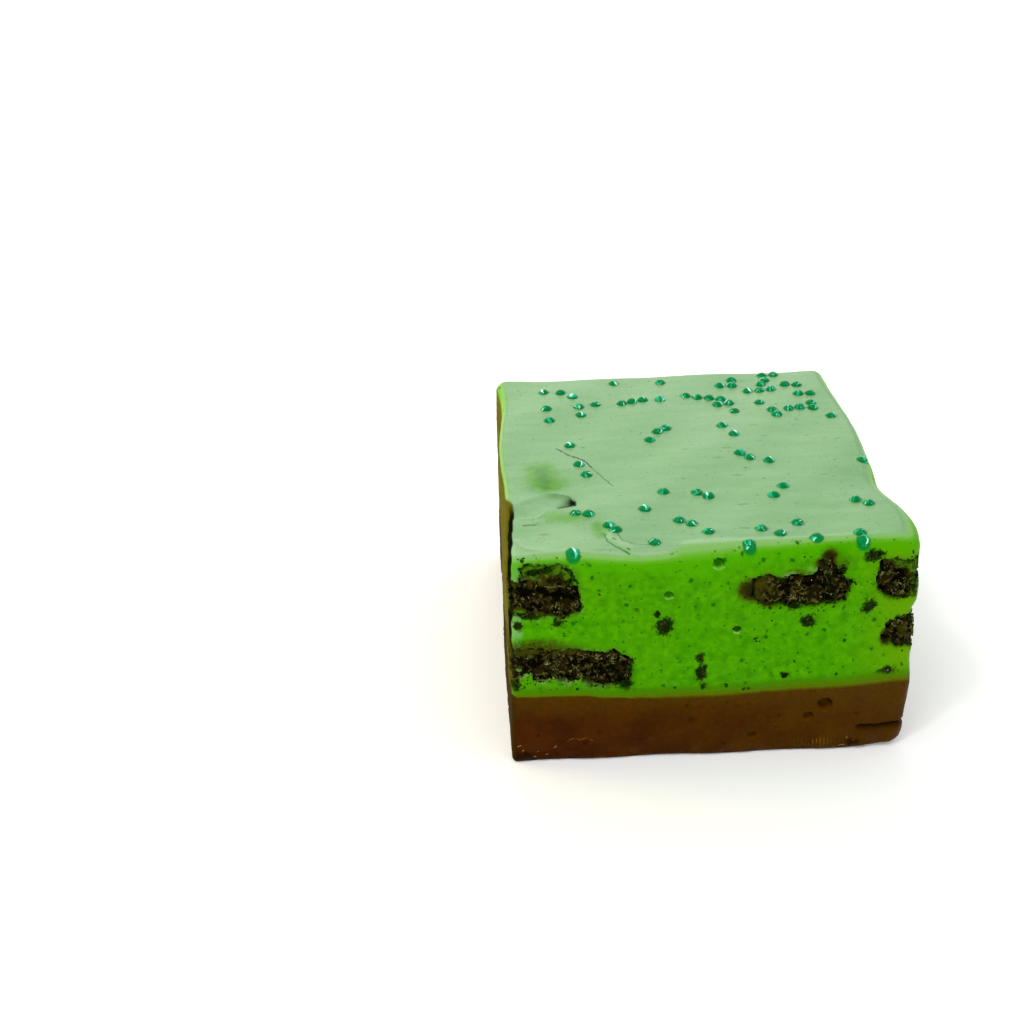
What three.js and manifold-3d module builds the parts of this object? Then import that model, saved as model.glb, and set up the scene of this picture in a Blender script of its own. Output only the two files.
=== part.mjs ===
// A cut block of cookies and cream fudge: a mint green layer with dark cookie pieces in it, a
// chocolate layer under it, and small sugar pearls pressed into the top. Millimetres, +Z up, the
// front face towards -Y, and the origin in the middle of the underside.
import * as THREE from "three";
import { mergeVertices } from "three/addons/utils/BufferGeometryUtils.js";
import Module from "manifold-3d";

const wasm = await Module();
wasm.setup();

// Driving dimensions of the block.
const WIDTH = 50;
const DEPTH = 58;
const HEIGHT = 30.3;
const BASE = 10; // mean height of the chocolate layer
const CLEARANCE = 0.3; // left between solids that touch in the real block
const HALF_WIDTH = WIDTH / 2;
const HALF_DEPTH = DEPTH / 2;

// Rounding of the edges: the knife leaves the upright ones fairly sharp, and the top rim is softer
// towards the right-hand end of the front.
const UPRIGHT_ROUNDING = 1;
const SHARP_RIM = 1;
const SOFT_RIM = 2.5;
const SOLE_ROUNDING = 0.7;
const WORN_CORNER = 1.7; // the front right corner of the sole
const ROUNDING_FADE = 5; // height over which a rim's rounding turns into the upright one

// The right face bulges near the front, so the whole block is shifted left to stand centred.
const CENTRING = 0.7;

// Number of grid steps along the width, the depth and the height of each layer.
const GRID_WIDTH = 15;
const GRID_DEPTH = 17;
const MINT_STEPS = 6;
const CHOCOLATE_STEPS = 4;
const RIM_CROWDING = 1.6; // how much closer the mint layer's steps lie towards its top rim

// Sugar pearls.
const PEARL_RADIUS = 0.75;
const PEARL_SINK = 0.2; // how far a pearl's centre lies under the skin
const PEARL_PITCH = 1.7; // spacing of the pearls in a string
const PEARL_WANDER = 0.5; // sideways scatter in a string
const PEARL_SIDES = 6;
const PEARL_RINGS = 4;

// Strings of pearls, from the front of the top to the back: x, y, how many, and the heading of the
// string in degrees from +X.
const PEARL_STRINGS = [
  [-17.1, -28.6, 1, 0],
  [4.5, -28, 1, 0],
  [12.5, -27.1, 1, 0],
  [17.7, -28.2, 2, 100],
  [-6.9, -26.9, 1, 0],
  [8.5, -25.7, 1, 0],
  [0.1, -24.4, 1, 0],
  [6.5, -24.2, 1, 0],
  [10.9, -22.9, 1, 0],
  [-11.9, -21.6, 2, -65],
  [-3.2, -21.2, 2, -30],
  [-16, -18, 2, -15],
  [-7.1, -17.9, 1, 0],
  [19.2, -17.3, 2, -40],
  [9.8, -15.1, 1, 0],
  [0.2, -13.2, 2, -30],
  [-4.1, -12.9, 1, 0],
  [11.7, -12.5, 1, 0],
  [-13.7, -6.2, 1, 0],
  [23.8, -4.5, 1, 0],
  [11.2, -4.3, 1, 0],
  [-14.4, -3, 1, 0],
  [7.9, -1.7, 2, -65],
  [-15.1, 3.6, 1, 0],
  [-3.8, 4.3, 1, 0],
  [7.9, 4.5, 1, 0],
  [-2.3, 6.8, 2, 45],
  [6.8, 7.9, 1, 0],
  [22.4, 10.4, 1, 0],
  [14.8, 12.9, 2, -90],
  [17, 13.3, 2, 10],
  [9.4, 13.2, 1, 0],
  [20.4, 13.4, 2, 80],
  [13.4, 15.9, 1, 0],
  [7.5, 16.1, 2, 10],
  [-6.4, 17.4, 3, 20],
  [-10.6, 17.7, 1, 0],
  [-0.6, 18.3, 1, 0],
  [3.3, 19.3, 4, -12],
  [19.5, 18.6, 2, -10],
  [12.6, 20.8, 3, 0],
  [18.3, 22.4, 2, -10],
  [9, 23.4, 2, -10],
  [14.9, 23, 2, 70],
  [10.9, 25.1, 1, 0],
  [0.3, 25.1, 1, 0],
  [-6.9, 25.5, 1, 0],
  [15.7, 26.4, 2, 15],
];

// The strays in the back left corner.
const DRIFT = { x: -17.5, y: 15.5, reachX: 5.5, reachY: 11, count: 7, seed: 7 };

// Cookie pieces, as the ranges that they fill in the block. A range that reaches one of the block's
// sides is cut flush there. tilt is the rise of the piece for each millimetre to the right of its
// middle, and crag is the depth of its broken surface.
const COOKIES = {
  cookie_front_left_high: {
    boxes: [
      { x: [-25, -16.3], y: [-29, -23], z: [21.8, 26.4] },
      { x: [-23.6, -17.2], y: [-29, -25], z: [25.4, 28.6] },
    ],
    tilt: -0.1,
    crag: 0.45,
    seed: 3,
  },
  cookie_front_left_low: {
    boxes: [{ x: [-25, -10], y: [-29, -20], z: [12.2, 16.7] }],
    tilt: -0.06,
    crag: 0.4,
    seed: 11,
  },
  cookie_front_right: {
    boxes: [
      { x: [5, 16.4], y: [-29, -22.5], z: [22, 25.9] },
      { x: [12.6, 16], y: [-29, -24], z: [24.8, 29] },
    ],
    tilt: -0.05,
    crag: 0.5,
    seed: 23,
  },
  cookie_corner_high: {
    boxes: [{ x: [20, 25], y: [-29, -22], z: [22.1, 27.3] }],
    tilt: -0.1,
    crag: 0.45,
    seed: 31,
  },
  cookie_corner_low: {
    boxes: [{ x: [21.5, 25], y: [-29, -23.5], z: [14.9, 18.8] }],
    tilt: 0,
    crag: 0.5,
    seed: 37,
  },
  cookie_right_middle: {
    boxes: [{ x: [18, 25], y: [-6, 9], z: [16.2, 20.4] }],
    tilt: 0.02,
    crag: 0.4,
    seed: 43,
  },
  cookie_back_high: {
    boxes: [{ x: [-1, 11], y: [22, 29], z: [20.5, 25] }],
    tilt: 0.12,
    crag: 0.45,
    seed: 53,
  },
  cookie_back_low: {
    boxes: [{ x: [-19, -7], y: [21, 29], z: [13, 17.3] }],
    tilt: -0.04,
    crag: 0.4,
    seed: 61,
  },
  cookie_left_middle: {
    boxes: [{ x: [-25, -18], y: [3, 14], z: [19.6, 24.2] }],
    tilt: 0,
    crag: 0.45,
    seed: 71,
  },
};
const COOKIE_STEP = { x: 1.7, y: 2.6, z: 1.4 }; // spacing of the points on a cookie lump
const LEAST_STEPS = 2;
const COOKIE_ROUNDING = 1.7;
const CUT_INSET = 0.2; // a cut cookie lies this much behind the knife's face
const RUN_OUT = 1.5; // how far a lump runs past the face before it is cut

// Air holes that the knife opened: the solid they are in, which side, the place along it, the
// height and the radius.
const AIR_HOLES = [
  { layer: "mint", x: 0.7, y: -HALF_DEPTH, z: 28.2, radius: 0.7 },
  { layer: "mint", x: -5.3, y: -HALF_DEPTH, z: 24.1, radius: 0.55 },
  { layer: "mint", x: 3.3, y: -HALF_DEPTH, z: 18.9, radius: 0.5 },
  { layer: "chocolate", x: 14.6, y: -HALF_DEPTH, z: 6.9, radius: 0.9 },
  { layer: "chocolate", x: 12.7, y: -HALF_DEPTH, z: 5.2, radius: 0.6 },
  { layer: "mint", x: HALF_WIDTH, y: 17, z: 24, radius: 0.7 },
  { layer: "chocolate", x: HALF_WIDTH, y: -12, z: 6, radius: 0.8 },
  { layer: "mint", x: -12, y: HALF_DEPTH, z: 24, radius: 0.7 },
  { layer: "chocolate", x: 9, y: HALF_DEPTH, z: 5.5, radius: 0.8 },
  { layer: "mint", x: -HALF_WIDTH, y: -8, z: 18, radius: 0.6 },
];
const HOLE_SIDES = 8;
const HOLE_RINGS = 6;

// The split low on the right of the front, where a flake of chocolate has lifted.
const SPLIT = { x: 22.3, z: 3.3, length: 8, opening: 0.5, depth: 1.6, slope: 0.03 };

const COLOURS = {
  mint: { color: "#4f9e18", roughness: 0.4 },
  chocolate: { color: "#46230b", roughness: 0.5 },
  cookie: { color: "#1c160d", roughness: 0.9 },
};

// Numbers from 0 to 1 in a fixed order for a seed.
function draws(seed) {
  const modulus = 2147483647;
  let state = seed * 7919;
  return () => {
    state = (state * 16807) % modulus;
    return state / modulus;
  };
}

const clamp = THREE.MathUtils.clamp;
const smooth = (t) => THREE.MathUtils.smoothstep(t, 0, 1);
const bump = (t, centre, reach) => Math.exp(-(((t - centre) / reach) ** 2));

// How far each knife face stands out from its flat plane. The right one bulges near the front,
// dips behind that, and has a nick between its two corner cookies.
const rightSway = (y, z) =>
  0.25 +
  1.35 * bump(y, -22.5, 7) * smooth(z / 6) -
  0.5 * bump(y, -11, 4) +
  0.3 * bump(y, 8, 9) -
  0.4 * bump(z, 19.9, 0.9) * bump(y, -HALF_DEPTH, 4) +
  0.12 * Math.sin(0.9 * z);
const leftSway = (y, z) =>
  0.3 * (1 - z / HEIGHT) -
  0.7 * smooth((y + 10) / 30) +
  0.25 * Math.sin(0.22 * y + 0.6) * smooth(z / HEIGHT);
const frontSway = (x, z) =>
  0.14 * Math.sin(0.42 * x + 0.8) + 0.1 * Math.sin(0.55 * z + 0.12 * x);
const backSway = (x, z) =>
  0.4 * Math.sin(0.2 * x + 0.4) + 0.15 * Math.sin(0.5 * z + 0.3 * x);

// How far the seam between the layers rises from its mean height: it climbs towards both sides.
const seamRise = (x, y) =>
  -0.5 +
  1.1 * (x / HALF_WIDTH) ** 2 +
  0.35 * bump(x, -16, 3) * bump(y, -HALF_DEPTH, 12) +
  0.3 * Math.sin(0.21 * y + 0.1 * x);

// How far the top rises: slow waves, less three shallow dents.
const topRise = (x, y) =>
  0.18 * Math.sin(0.17 * x + 0.5) * Math.cos(0.15 * y) +
  0.1 * Math.sin(0.36 * x - 0.27 * y) -
  0.5 * bump(x, -19, 4) * bump(y, -12, 3.5) -
  0.3 * bump(x, -13.5, 2) * bump(y, -22.5, 3) -
  0.5 * bump(x, HALF_WIDTH, 4) * bump(y, -12, 8);

// Moves a point of the plain block to its place in the real, uneven one.
function sway(point) {
  const { x, y, z } = point;
  const toRight = smooth(x / HALF_WIDTH);
  const toLeft = smooth(-x / HALF_WIDTH);
  const toBack = smooth(y / HALF_DEPTH);
  const toFront = smooth(-y / HALF_DEPTH);
  const rise = clamp((z - BASE) / (HEIGHT - BASE), 0, 1);
  const foot = clamp(z / BASE, 0, 1);
  point.x += toRight * rightSway(y, z) - toLeft * leftSway(y, z) - CENTRING;
  point.y += toBack * backSway(x, z) - toFront * frontSway(x, z);
  point.z += seamRise(x, y) * Math.min(foot, 1 - rise) + topRise(x, y) * rise;
  return point;
}

// Radius of the rounding near a point of the plain block.
function rounding({ x, y, z }) {
  const rim =
    SHARP_RIM +
    (SOFT_RIM - SHARP_RIM) * smooth((x + 12) / 30) * smooth((8 - y) / 30) +
    0.7 * smooth((y - 10) / 15);
  const sole =
    SOLE_ROUNDING +
    (WORN_CORNER - SOLE_ROUNDING) * bump(x, HALF_WIDTH, 4) * bump(y, -HALF_DEPTH, 6);
  const toRim = smooth((z - HEIGHT + ROUNDING_FADE) / ROUNDING_FADE);
  const toSole = smooth((ROUNDING_FADE - z) / ROUNDING_FADE);
  return UPRIGHT_ROUNDING + (rim - UPRIGHT_ROUNDING) * toRim + (sole - UPRIGHT_ROUNDING) * toSole;
}

// Rounds the edges of a point on the plain block's surface, draws it in by inset, then sways it.
function blockPoint(x, y, z, inset = 0) {
  const point = new THREE.Vector3(x, y, z);
  const radius = rounding(point);
  const core = new THREE.Vector3(
    clamp(x, radius - HALF_WIDTH, HALF_WIDTH - radius),
    clamp(y, radius - HALF_DEPTH, HALF_DEPTH - radius),
    clamp(z, radius, HEIGHT - radius),
  );
  const out = point.clone().sub(core);
  const reach = Math.max(Math.abs(out.x), Math.abs(out.y), Math.abs(out.z));
  if (reach > 0) point.copy(core).addScaledVector(out, (reach - inset) / out.length());
  return sway(point);
}

// A box of grid points from -1 to 1, each point shared by the faces that meet there.
function gridBox(steps) {
  const box = new THREE.BoxGeometry(2, 2, 2, ...steps);
  box.deleteAttribute("normal");
  box.deleteAttribute("uv");
  return mergeVertices(box, 1e-4);
}

function movePoints(geometry, place) {
  const position = geometry.getAttribute("position");
  const point = new THREE.Vector3();
  for (let i = 0; i < position.count; i += 1) {
    point.fromBufferAttribute(position, i);
    const moved = place(point);
    position.setXYZ(i, moved.x, moved.y, moved.z);
  }
  return geometry;
}

function solidOf(geometry) {
  return new wasm.Manifold(
    new wasm.Mesh({
      numProp: 3,
      vertProperties: new Float32Array(geometry.getAttribute("position").array),
      triVerts: new Uint32Array(geometry.index.array),
    }),
  );
}

// Steps that lie closer together towards the edges, where the rounding is.
const crowded = (t) => 0.5 * t + 0.5 * Math.sin((t * Math.PI) / 2);

// The part of the block from low to high. A layer's flat end is where its grid stops inside.
function blockSolid(low, high, steps, inset = 0) {
  const grid = gridBox([GRID_WIDTH, GRID_DEPTH, steps]);
  return solidOf(
    movePoints(grid, ({ x, y, z }) => {
      const share = (z + 1) / 2;
      const crowdedShare = low > 0 ? 1 - (1 - share) ** RIM_CROWDING : share;
      return blockPoint(
        HALF_WIDTH * crowded(x),
        HALF_DEPTH * crowded(y),
        low + (high - low) * crowdedShare,
        inset,
      );
    }),
  );
}

// A rough lump of cookie that runs out past the block's cut faces. grow swells it all round.
function cookieLump(box, { tilt, crag, seed }, grow) {
  const draw = draws(seed);
  const limits = { x: HALF_WIDTH, y: HALF_DEPTH, z: Infinity };
  const centre = new THREE.Vector3();
  const half = new THREE.Vector3();
  const steps = [];
  for (const axis of ["x", "y", "z"]) {
    const low = box[axis][0] - (box[axis][0] <= -limits[axis] ? RUN_OUT : 0);
    const high = box[axis][1] + (box[axis][1] >= limits[axis] ? RUN_OUT : 0);
    centre[axis] = (low + high) / 2;
    half[axis] = (high - low) / 2;
    steps.push(Math.max(LEAST_STEPS, Math.round((high - low) / COOKIE_STEP[axis])));
  }
  const radius = Math.min(COOKIE_ROUNDING, half.y * 0.8, half.z * 0.8);
  const inner = half.clone().subScalar(radius);
  return solidOf(
    movePoints(gridBox(steps), (unit) => {
      const point = unit.clone().multiply(half);
      const core = point.clone().clamp(inner.clone().negate(), inner);
      const out = point.clone().sub(core);
      const reach = Math.max(Math.abs(out.x), Math.abs(out.y), Math.abs(out.z));
      if (reach > 0) point.copy(core).addScaledVector(out, reach / out.length());
      const broken = new THREE.Vector3(draw() - 0.5, draw() - 0.5, draw() - 0.5);
      point.addScaledVector(broken, 2 * crag).addScaledVector(unit, grow);
      point.z += point.x * tilt;
      return sway(point.add(centre));
    }),
  );
}

const joined = (solids) => solids.reduce((all, solid) => all.add(solid));

const pocketSolid = (cookie) =>
  joined(cookie.boxes.map((box) => cookieLump(box, cookie, CLEARANCE)));

function cookieSolid(cookie) {
  const lumps = joined(cookie.boxes.map((box) => cookieLump(box, cookie, 0)));
  return lumps.intersect(blockSolid(0, HEIGHT, MINT_STEPS, CUT_INSET));
}

// Places of the pearls on the plain block's top.
function pearlPlaces() {
  const draw = draws(5);
  const places = [];
  for (const [x, y, count, heading] of PEARL_STRINGS) {
    const angle = THREE.MathUtils.degToRad(heading);
    for (let i = 0; i < count; i += 1) {
      const aside = count > 1 ? (draw() - 0.5) * PEARL_WANDER : 0;
      places.push([
        x + Math.cos(angle) * PEARL_PITCH * i - Math.sin(angle) * aside,
        y + Math.sin(angle) * PEARL_PITCH * i + Math.cos(angle) * aside,
      ]);
    }
  }
  const { x, y, reachX, reachY, count, seed } = DRIFT;
  const scatter = draws(seed);
  const whole = places.length + count;
  while (places.length < whole) {
    const place = [x + (2 * scatter() - 1) * reachX, y + (2 * scatter() - 1) * reachY];
    const clear = places.every(
      ([px, py]) => Math.hypot(px - place[0], py - place[1]) > PEARL_PITCH,
    );
    if (clear) places.push(place);
  }
  return places;
}

function pearlSolid([x, y], turn) {
  const step = 0.2;
  const top = blockPoint(x, y, HEIGHT);
  const across = blockPoint(x + step, y, HEIGHT).sub(top);
  const along = blockPoint(x, y + step, HEIGHT).sub(top);
  const normal = across.cross(along).normalize();
  const sphere = new THREE.SphereGeometry(PEARL_RADIUS, PEARL_SIDES, PEARL_RINGS);
  sphere.deleteAttribute("normal");
  sphere.deleteAttribute("uv");
  sphere.rotateX(Math.PI / 2);
  sphere.rotateZ(turn);
  const centre = top.addScaledVector(normal, -PEARL_SINK);
  sphere.translate(centre.x, centre.y, centre.z);
  return solidOf(mergeVertices(sphere, 1e-4));
}

function holeSolid({ x, y, z, radius }) {
  const sphere = new THREE.SphereGeometry(radius, HOLE_SIDES, HOLE_RINGS);
  sphere.deleteAttribute("normal");
  sphere.deleteAttribute("uv");
  const centre = sway(new THREE.Vector3(x, y, z));
  sphere.translate(centre.x, centre.y, centre.z);
  return solidOf(mergeVertices(sphere, 1e-4));
}

// A thin wedge that opens on the front face and closes inside it.
function splitSolid({ x, z, length, opening, depth, slope }) {
  const outside = 1;
  const profile = new THREE.Shape([
    new THREE.Vector2(-outside, -opening / 2),
    new THREE.Vector2(depth, 0),
    new THREE.Vector2(-outside, opening / 2),
  ]);
  const wedge = new THREE.ExtrudeGeometry(profile, { depth: length, bevelEnabled: false });
  wedge.deleteAttribute("normal");
  wedge.deleteAttribute("uv");
  wedge.translate(0, 0, -length / 2);
  wedge.applyMatrix4(
    new THREE.Matrix4().makeBasis(
      new THREE.Vector3(0, 1, 0),
      new THREE.Vector3(-slope, 0, 1),
      new THREE.Vector3(1, 0, slope),
    ),
  );
  const middle = sway(new THREE.Vector3(x, -HALF_DEPTH, z));
  wedge.translate(middle.x, middle.y, middle.z);
  return solidOf(mergeVertices(wedge, 1e-4));
}

function meshOf(solid, name, finish) {
  const made = solid.getMesh();
  const geometry = new THREE.BufferGeometry();
  geometry.setAttribute("position", new THREE.BufferAttribute(made.vertProperties, 3));
  geometry.setIndex(new THREE.BufferAttribute(made.triVerts, 1));
  geometry.computeVertexNormals();
  const mesh = new THREE.Mesh(geometry, new THREE.MeshStandardMaterial(COLOURS[finish]));
  mesh.name = name;
  return mesh;
}

const holesOf = (layer) => AIR_HOLES.filter((hole) => hole.layer === layer).map(holeSolid);

function chocolateLayer() {
  const body = blockSolid(0, BASE - CLEARANCE / 2, CHOCOLATE_STEPS);
  return body.subtract(joined([...holesOf("chocolate"), splitSolid(SPLIT)]));
}

function mintLayer() {
  const body = blockSolid(BASE + CLEARANCE / 2, HEIGHT, MINT_STEPS);
  const pockets = Object.values(COOKIES).map(pocketSolid);
  const turn = draws(19);
  const pearls = pearlPlaces().map((place) => pearlSolid(place, turn() * Math.PI));
  return body.subtract(joined([...pockets, ...holesOf("mint")])).add(joined(pearls));
}

const fudge = new THREE.Group();
fudge.add(meshOf(chocolateLayer(), "chocolate_layer", "chocolate"));
fudge.add(meshOf(mintLayer(), "mint_layer", "mint"));
for (const [name, cookie] of Object.entries(COOKIES)) {
  fudge.add(meshOf(cookieSolid(cookie), name, "cookie"));
}

export default fudge;
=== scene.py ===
"""Looks of a cut block of cookies and cream fudge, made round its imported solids.

The shape of the block is worked out in millimetres, as in the solids, and its meshes are in metres.
"""
import math

import bmesh
import bpy
import numpy as np
from mathutils import Matrix, Vector, noise
from mathutils.bvhtree import BVHTree


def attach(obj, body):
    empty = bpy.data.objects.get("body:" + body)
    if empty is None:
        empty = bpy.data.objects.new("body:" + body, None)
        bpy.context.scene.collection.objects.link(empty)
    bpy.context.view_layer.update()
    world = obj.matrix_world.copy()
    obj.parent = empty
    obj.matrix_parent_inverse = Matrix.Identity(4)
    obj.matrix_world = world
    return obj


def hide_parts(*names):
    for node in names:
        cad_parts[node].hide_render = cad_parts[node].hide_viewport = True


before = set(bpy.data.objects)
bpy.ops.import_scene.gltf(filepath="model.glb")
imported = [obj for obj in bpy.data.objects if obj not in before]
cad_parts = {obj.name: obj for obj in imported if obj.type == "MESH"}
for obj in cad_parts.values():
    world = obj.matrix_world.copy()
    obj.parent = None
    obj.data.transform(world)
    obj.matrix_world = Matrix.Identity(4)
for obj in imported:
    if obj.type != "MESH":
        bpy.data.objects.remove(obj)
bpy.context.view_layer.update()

MM = 0.001

# Driving sizes of the block, in millimetres, as in the solids
WIDTH, DEPTH, HEIGHT = 50.0, 58.0, 30.3
HALF_WIDTH, HALF_DEPTH = WIDTH / 2, DEPTH / 2
BASE = 10.0
CENTRING = 0.7
UPRIGHT_ROUNDING, SHARP_RIM, SOFT_RIM = 1.0, 1.0, 2.5
SOLE_ROUNDING, WORN_CORNER, ROUNDING_FADE = 0.7, 1.7, 5.0

# Steps of the fine grids along the width, the depth and the height of each layer
MINT_STEPS = (200, 172, 84)
CHOCOLATE_STEPS = (190, 120, 70)
SEAM_LAP, SEAM_TUCK = 0.5, 0.3  # how far the mint reaches down and in behind the chocolate

# Sugar pearls
PEARL_RADIUS, PEARL_SINK = 0.75, 0.2
PEARL_PITCH, PEARL_WANDER = 1.7, 0.5
PEARL_STRINGS = [
    (-17.1, -28.6, 1, 0), (4.5, -28, 1, 0), (12.5, -27.1, 1, 0), (17.7, -28.2, 2, 100),
    (-6.9, -26.9, 1, 0), (8.5, -25.7, 1, 0), (0.1, -24.4, 1, 0), (6.5, -24.2, 1, 0),
    (10.9, -22.9, 1, 0), (-11.9, -21.6, 2, -65), (-3.2, -21.2, 2, -30), (-16, -18, 2, -15),
    (-7.1, -17.9, 1, 0), (19.2, -17.3, 2, -40), (9.8, -15.1, 1, 0), (0.2, -13.2, 2, -30),
    (-4.1, -12.9, 1, 0), (11.7, -12.5, 1, 0), (-13.7, -6.2, 1, 0), (23.8, -4.5, 1, 0),
    (11.2, -4.3, 1, 0), (-14.4, -3, 1, 0), (7.9, -1.7, 2, -65), (-15.1, 3.6, 1, 0),
    (-3.8, 4.3, 1, 0), (7.9, 4.5, 1, 0), (-2.3, 6.8, 2, 45), (6.8, 7.9, 1, 0), (22.4, 10.4, 1, 0),
    (14.8, 12.9, 2, -90), (17, 13.3, 2, 10), (9.4, 13.2, 1, 0), (20.4, 13.4, 2, 80),
    (13.4, 15.9, 1, 0), (7.5, 16.1, 2, 10), (-6.4, 17.4, 3, 20), (-10.6, 17.7, 1, 0),
    (-0.6, 18.3, 1, 0), (3.3, 19.3, 4, -12), (19.5, 18.6, 2, -10), (12.6, 20.8, 3, 0),
    (18.3, 22.4, 2, -10), (9, 23.4, 2, -10), (14.9, 23, 2, 70), (10.9, 25.1, 1, 0),
    (0.3, 25.1, 1, 0), (-6.9, 25.5, 1, 0), (15.7, 26.4, 2, 15),
]
PEARL_DRIFT = dict(x=-17.5, y=15.5, reach_x=5.5, reach_y=11, count=7, seed=7)

# Air holes that the knife opened: place on the plain block and radius
MINT_HOLES = [
    (0.7, -HALF_DEPTH, 28.2, 0.7),
    (-5.3, -HALF_DEPTH, 24.1, 0.55),
    (3.3, -HALF_DEPTH, 18.9, 0.5),
    (HALF_WIDTH, 17, 24, 0.7),
    (-12, HALF_DEPTH, 24, 0.7),
    (-HALF_WIDTH, -8, 18, 0.6),
]
CHOCOLATE_HOLES = [
    (14.6, -HALF_DEPTH, 6.9, 0.9),
    (12.7, -HALF_DEPTH, 5.2, 0.6),
    (5.7, -HALF_DEPTH, 2.9, 0.5),
    (HALF_WIDTH, -12, 6, 0.8),
    (9, HALF_DEPTH, 5.5, 0.8),
]
MINT_BUBBLES = dict(seed=13, count=110, low=BASE + 1, high=HEIGHT - 1.5)
CHOCOLATE_BUBBLES = dict(seed=29, count=150, low=0.8, high=BASE - 0.8)
SPLIT = dict(x=22.3, z=3.3, length=8.0, opening=0.2)

# Clusters of crumbs that show in the front: x and z, half the width and half the height
CRUMB_CLUSTERS = [
    (-5.8, 19.7, 0.9, 0.9), (-6.7, 21.5, 0.2, 0.2), (-1.1, 13.1, 0.45, 1.0),
    (-1.3, 15.1, 0.25, 0.45), (-0.8, 10.9, 0.2, 0.3), (12.0, 19.4, 0.65, 0.75),
    (19.1, 21.1, 0.65, 0.75), (22.0, 11.1, 0.85, 0.5), (19.2, 28.2, 0.9, 0.6),
    (9.4, 11.7, 0.35, 0.25), (-24.4, 11.4, 0.5, 0.7), (-10.6, 11.9, 0.7, 0.6),
    (-21.9, 27.9, 0.65, 0.35), (-20.3, 28.1, 0.4, 0.25), (-19.0, 20.6, 0.45, 0.3),
    (-22.6, 21.9, 0.9, 0.3), (-23.9, 20.6, 0.4, 0.4), (10.1, 21.9, 0.6, 0.5),
]

# Brown smudges in the skin of the front: x and z, half the width, half the height and strength
SMUDGES = [
    (13.9, 28.5, 1.1, 0.8, 1.0), (13.6, 27.4, 1.4, 1.2, 1.0), (4.9, 24.4, 2.0, 1.7, 1.0),
    (21.4, 16.2, 0.9, 1.4, 1.0), (-21.5, 17.2, 4.6, 1.5, 0.62), (10.6, 26.5, 2.6, 0.6, 0.45),
]

# Pale films of fudge that the knife drew over the cookies in the front
FILMS = [
    (9.6, 26.2, 1.6, 0.6), (12.1, 26.8, 1.0, 0.4), (-18.6, 25.6, 1.2, 0.25),
]

# Single flecks in the front: x, z and radius
FLECKS = [
    (-13.9, 24.6, 0.24), (-7.9, 28.7, 0.14), (-4.0, 22.4, 0.22), (-2.1, 22.3, 0.2),
    (-2.3, 26.0, 0.16), (-2.6, 16.9, 0.25), (-2.2, 16.4, 0.25), (-18.2, 18.8, 0.2),
    (-14.6, 20.2, 0.15), (-17.6, 27.8, 0.25), (-17.1, 27.0, 0.25), (-23.3, 29.6, 0.3),
    (-23.8, 30.0, 0.15), (-23.1, 30.1, 0.18), (-23.7, 28.9, 0.2), (-23.3, 28.7, 0.18),
    (-9.8, 21.3, 0.15), (-10.6, 19.8, 0.15), (-6.1, 13.6, 0.22), (-4.3, 10.9, 0.25),
    (-10.2, 14.4, 0.25), (-9.7, 15.1, 0.25), (1.8, 17.2, 0.15), (5.7, 17.0, 0.2),
    (2.0, 11.2, 0.2), (15.7, 11.4, 0.18), (15.2, 17.0, 0.2), (17.1, 25.7, 0.18),
    (23.0, 28.5, 0.14), (23.6, 28.2, 0.14), (3.2, 19.1, 0.35), (1.2, 19.1, 0.2),
    (5.6, 17.4, 0.25), (6.1, 16.9, 0.2), (2.2, 10.9, 0.3), (4.4, 10.2, 0.3), (5.0, 10.2, 0.25),
    (15.8, 17.1, 0.22), (16.3, 16.3, 0.25), (10.5, 13.6, 0.2), (7.6, 19.8, 0.15),
    (17.5, 20.5, 0.15), (11.4, 27.7, 0.3), (11.0, 28.5, 0.2), (24.0, 28.3, 0.25),
]

# Seeds of what is set by chance
PEARL_SEED, PEARL_TURN_SEED, CRUMB_SEED, PEPPER_SEED = 5, 77, 101, 17

FAR = 99.0  # further than anything in the block

COOKIE_NODES = sorted(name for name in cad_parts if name.startswith("cookie_"))


# Shape of the block

def smooth(t):
    t = np.clip(t, 0.0, 1.0)
    return t * t * (3 - 2 * t)


def bump(t, centre, reach):
    return np.exp(-(((t - centre) / reach) ** 2))


def right_sway(y, z):
    return (
        0.25
        + 1.35 * bump(y, -22.5, 7) * smooth(z / 6)
        - 0.5 * bump(y, -11, 4)
        + 0.3 * bump(y, 8, 9)
        - 0.4 * bump(z, 19.9, 0.9) * bump(y, -HALF_DEPTH, 4)
        + 0.12 * np.sin(0.9 * z)
    )


def left_sway(y, z):
    return (
        0.3 * (1 - z / HEIGHT)
        - 0.7 * smooth((y + 10) / 30)
        + 0.25 * np.sin(0.22 * y + 0.6) * smooth(z / HEIGHT)
    )


def front_sway(x, z):
    return 0.14 * np.sin(0.42 * x + 0.8) + 0.1 * np.sin(0.55 * z + 0.12 * x)


def back_sway(x, z):
    return 0.4 * np.sin(0.2 * x + 0.4) + 0.15 * np.sin(0.5 * z + 0.3 * x)


def seam_rise(x, y):
    return (
        -0.5
        + 1.1 * (x / HALF_WIDTH) ** 2
        + 0.35 * bump(x, -16, 3) * bump(y, -HALF_DEPTH, 12)
        + 0.3 * np.sin(0.21 * y + 0.1 * x)
    )


def top_rise(x, y):
    return (
        0.18 * np.sin(0.17 * x + 0.5) * np.cos(0.15 * y)
        + 0.1 * np.sin(0.36 * x - 0.27 * y)
        - 0.5 * bump(x, -19, 4) * bump(y, -12, 3.5)
        - 0.3 * bump(x, -13.5, 2) * bump(y, -22.5, 3)
        - 0.5 * bump(x, HALF_WIDTH, 4) * bump(y, -12, 8)
    )


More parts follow.
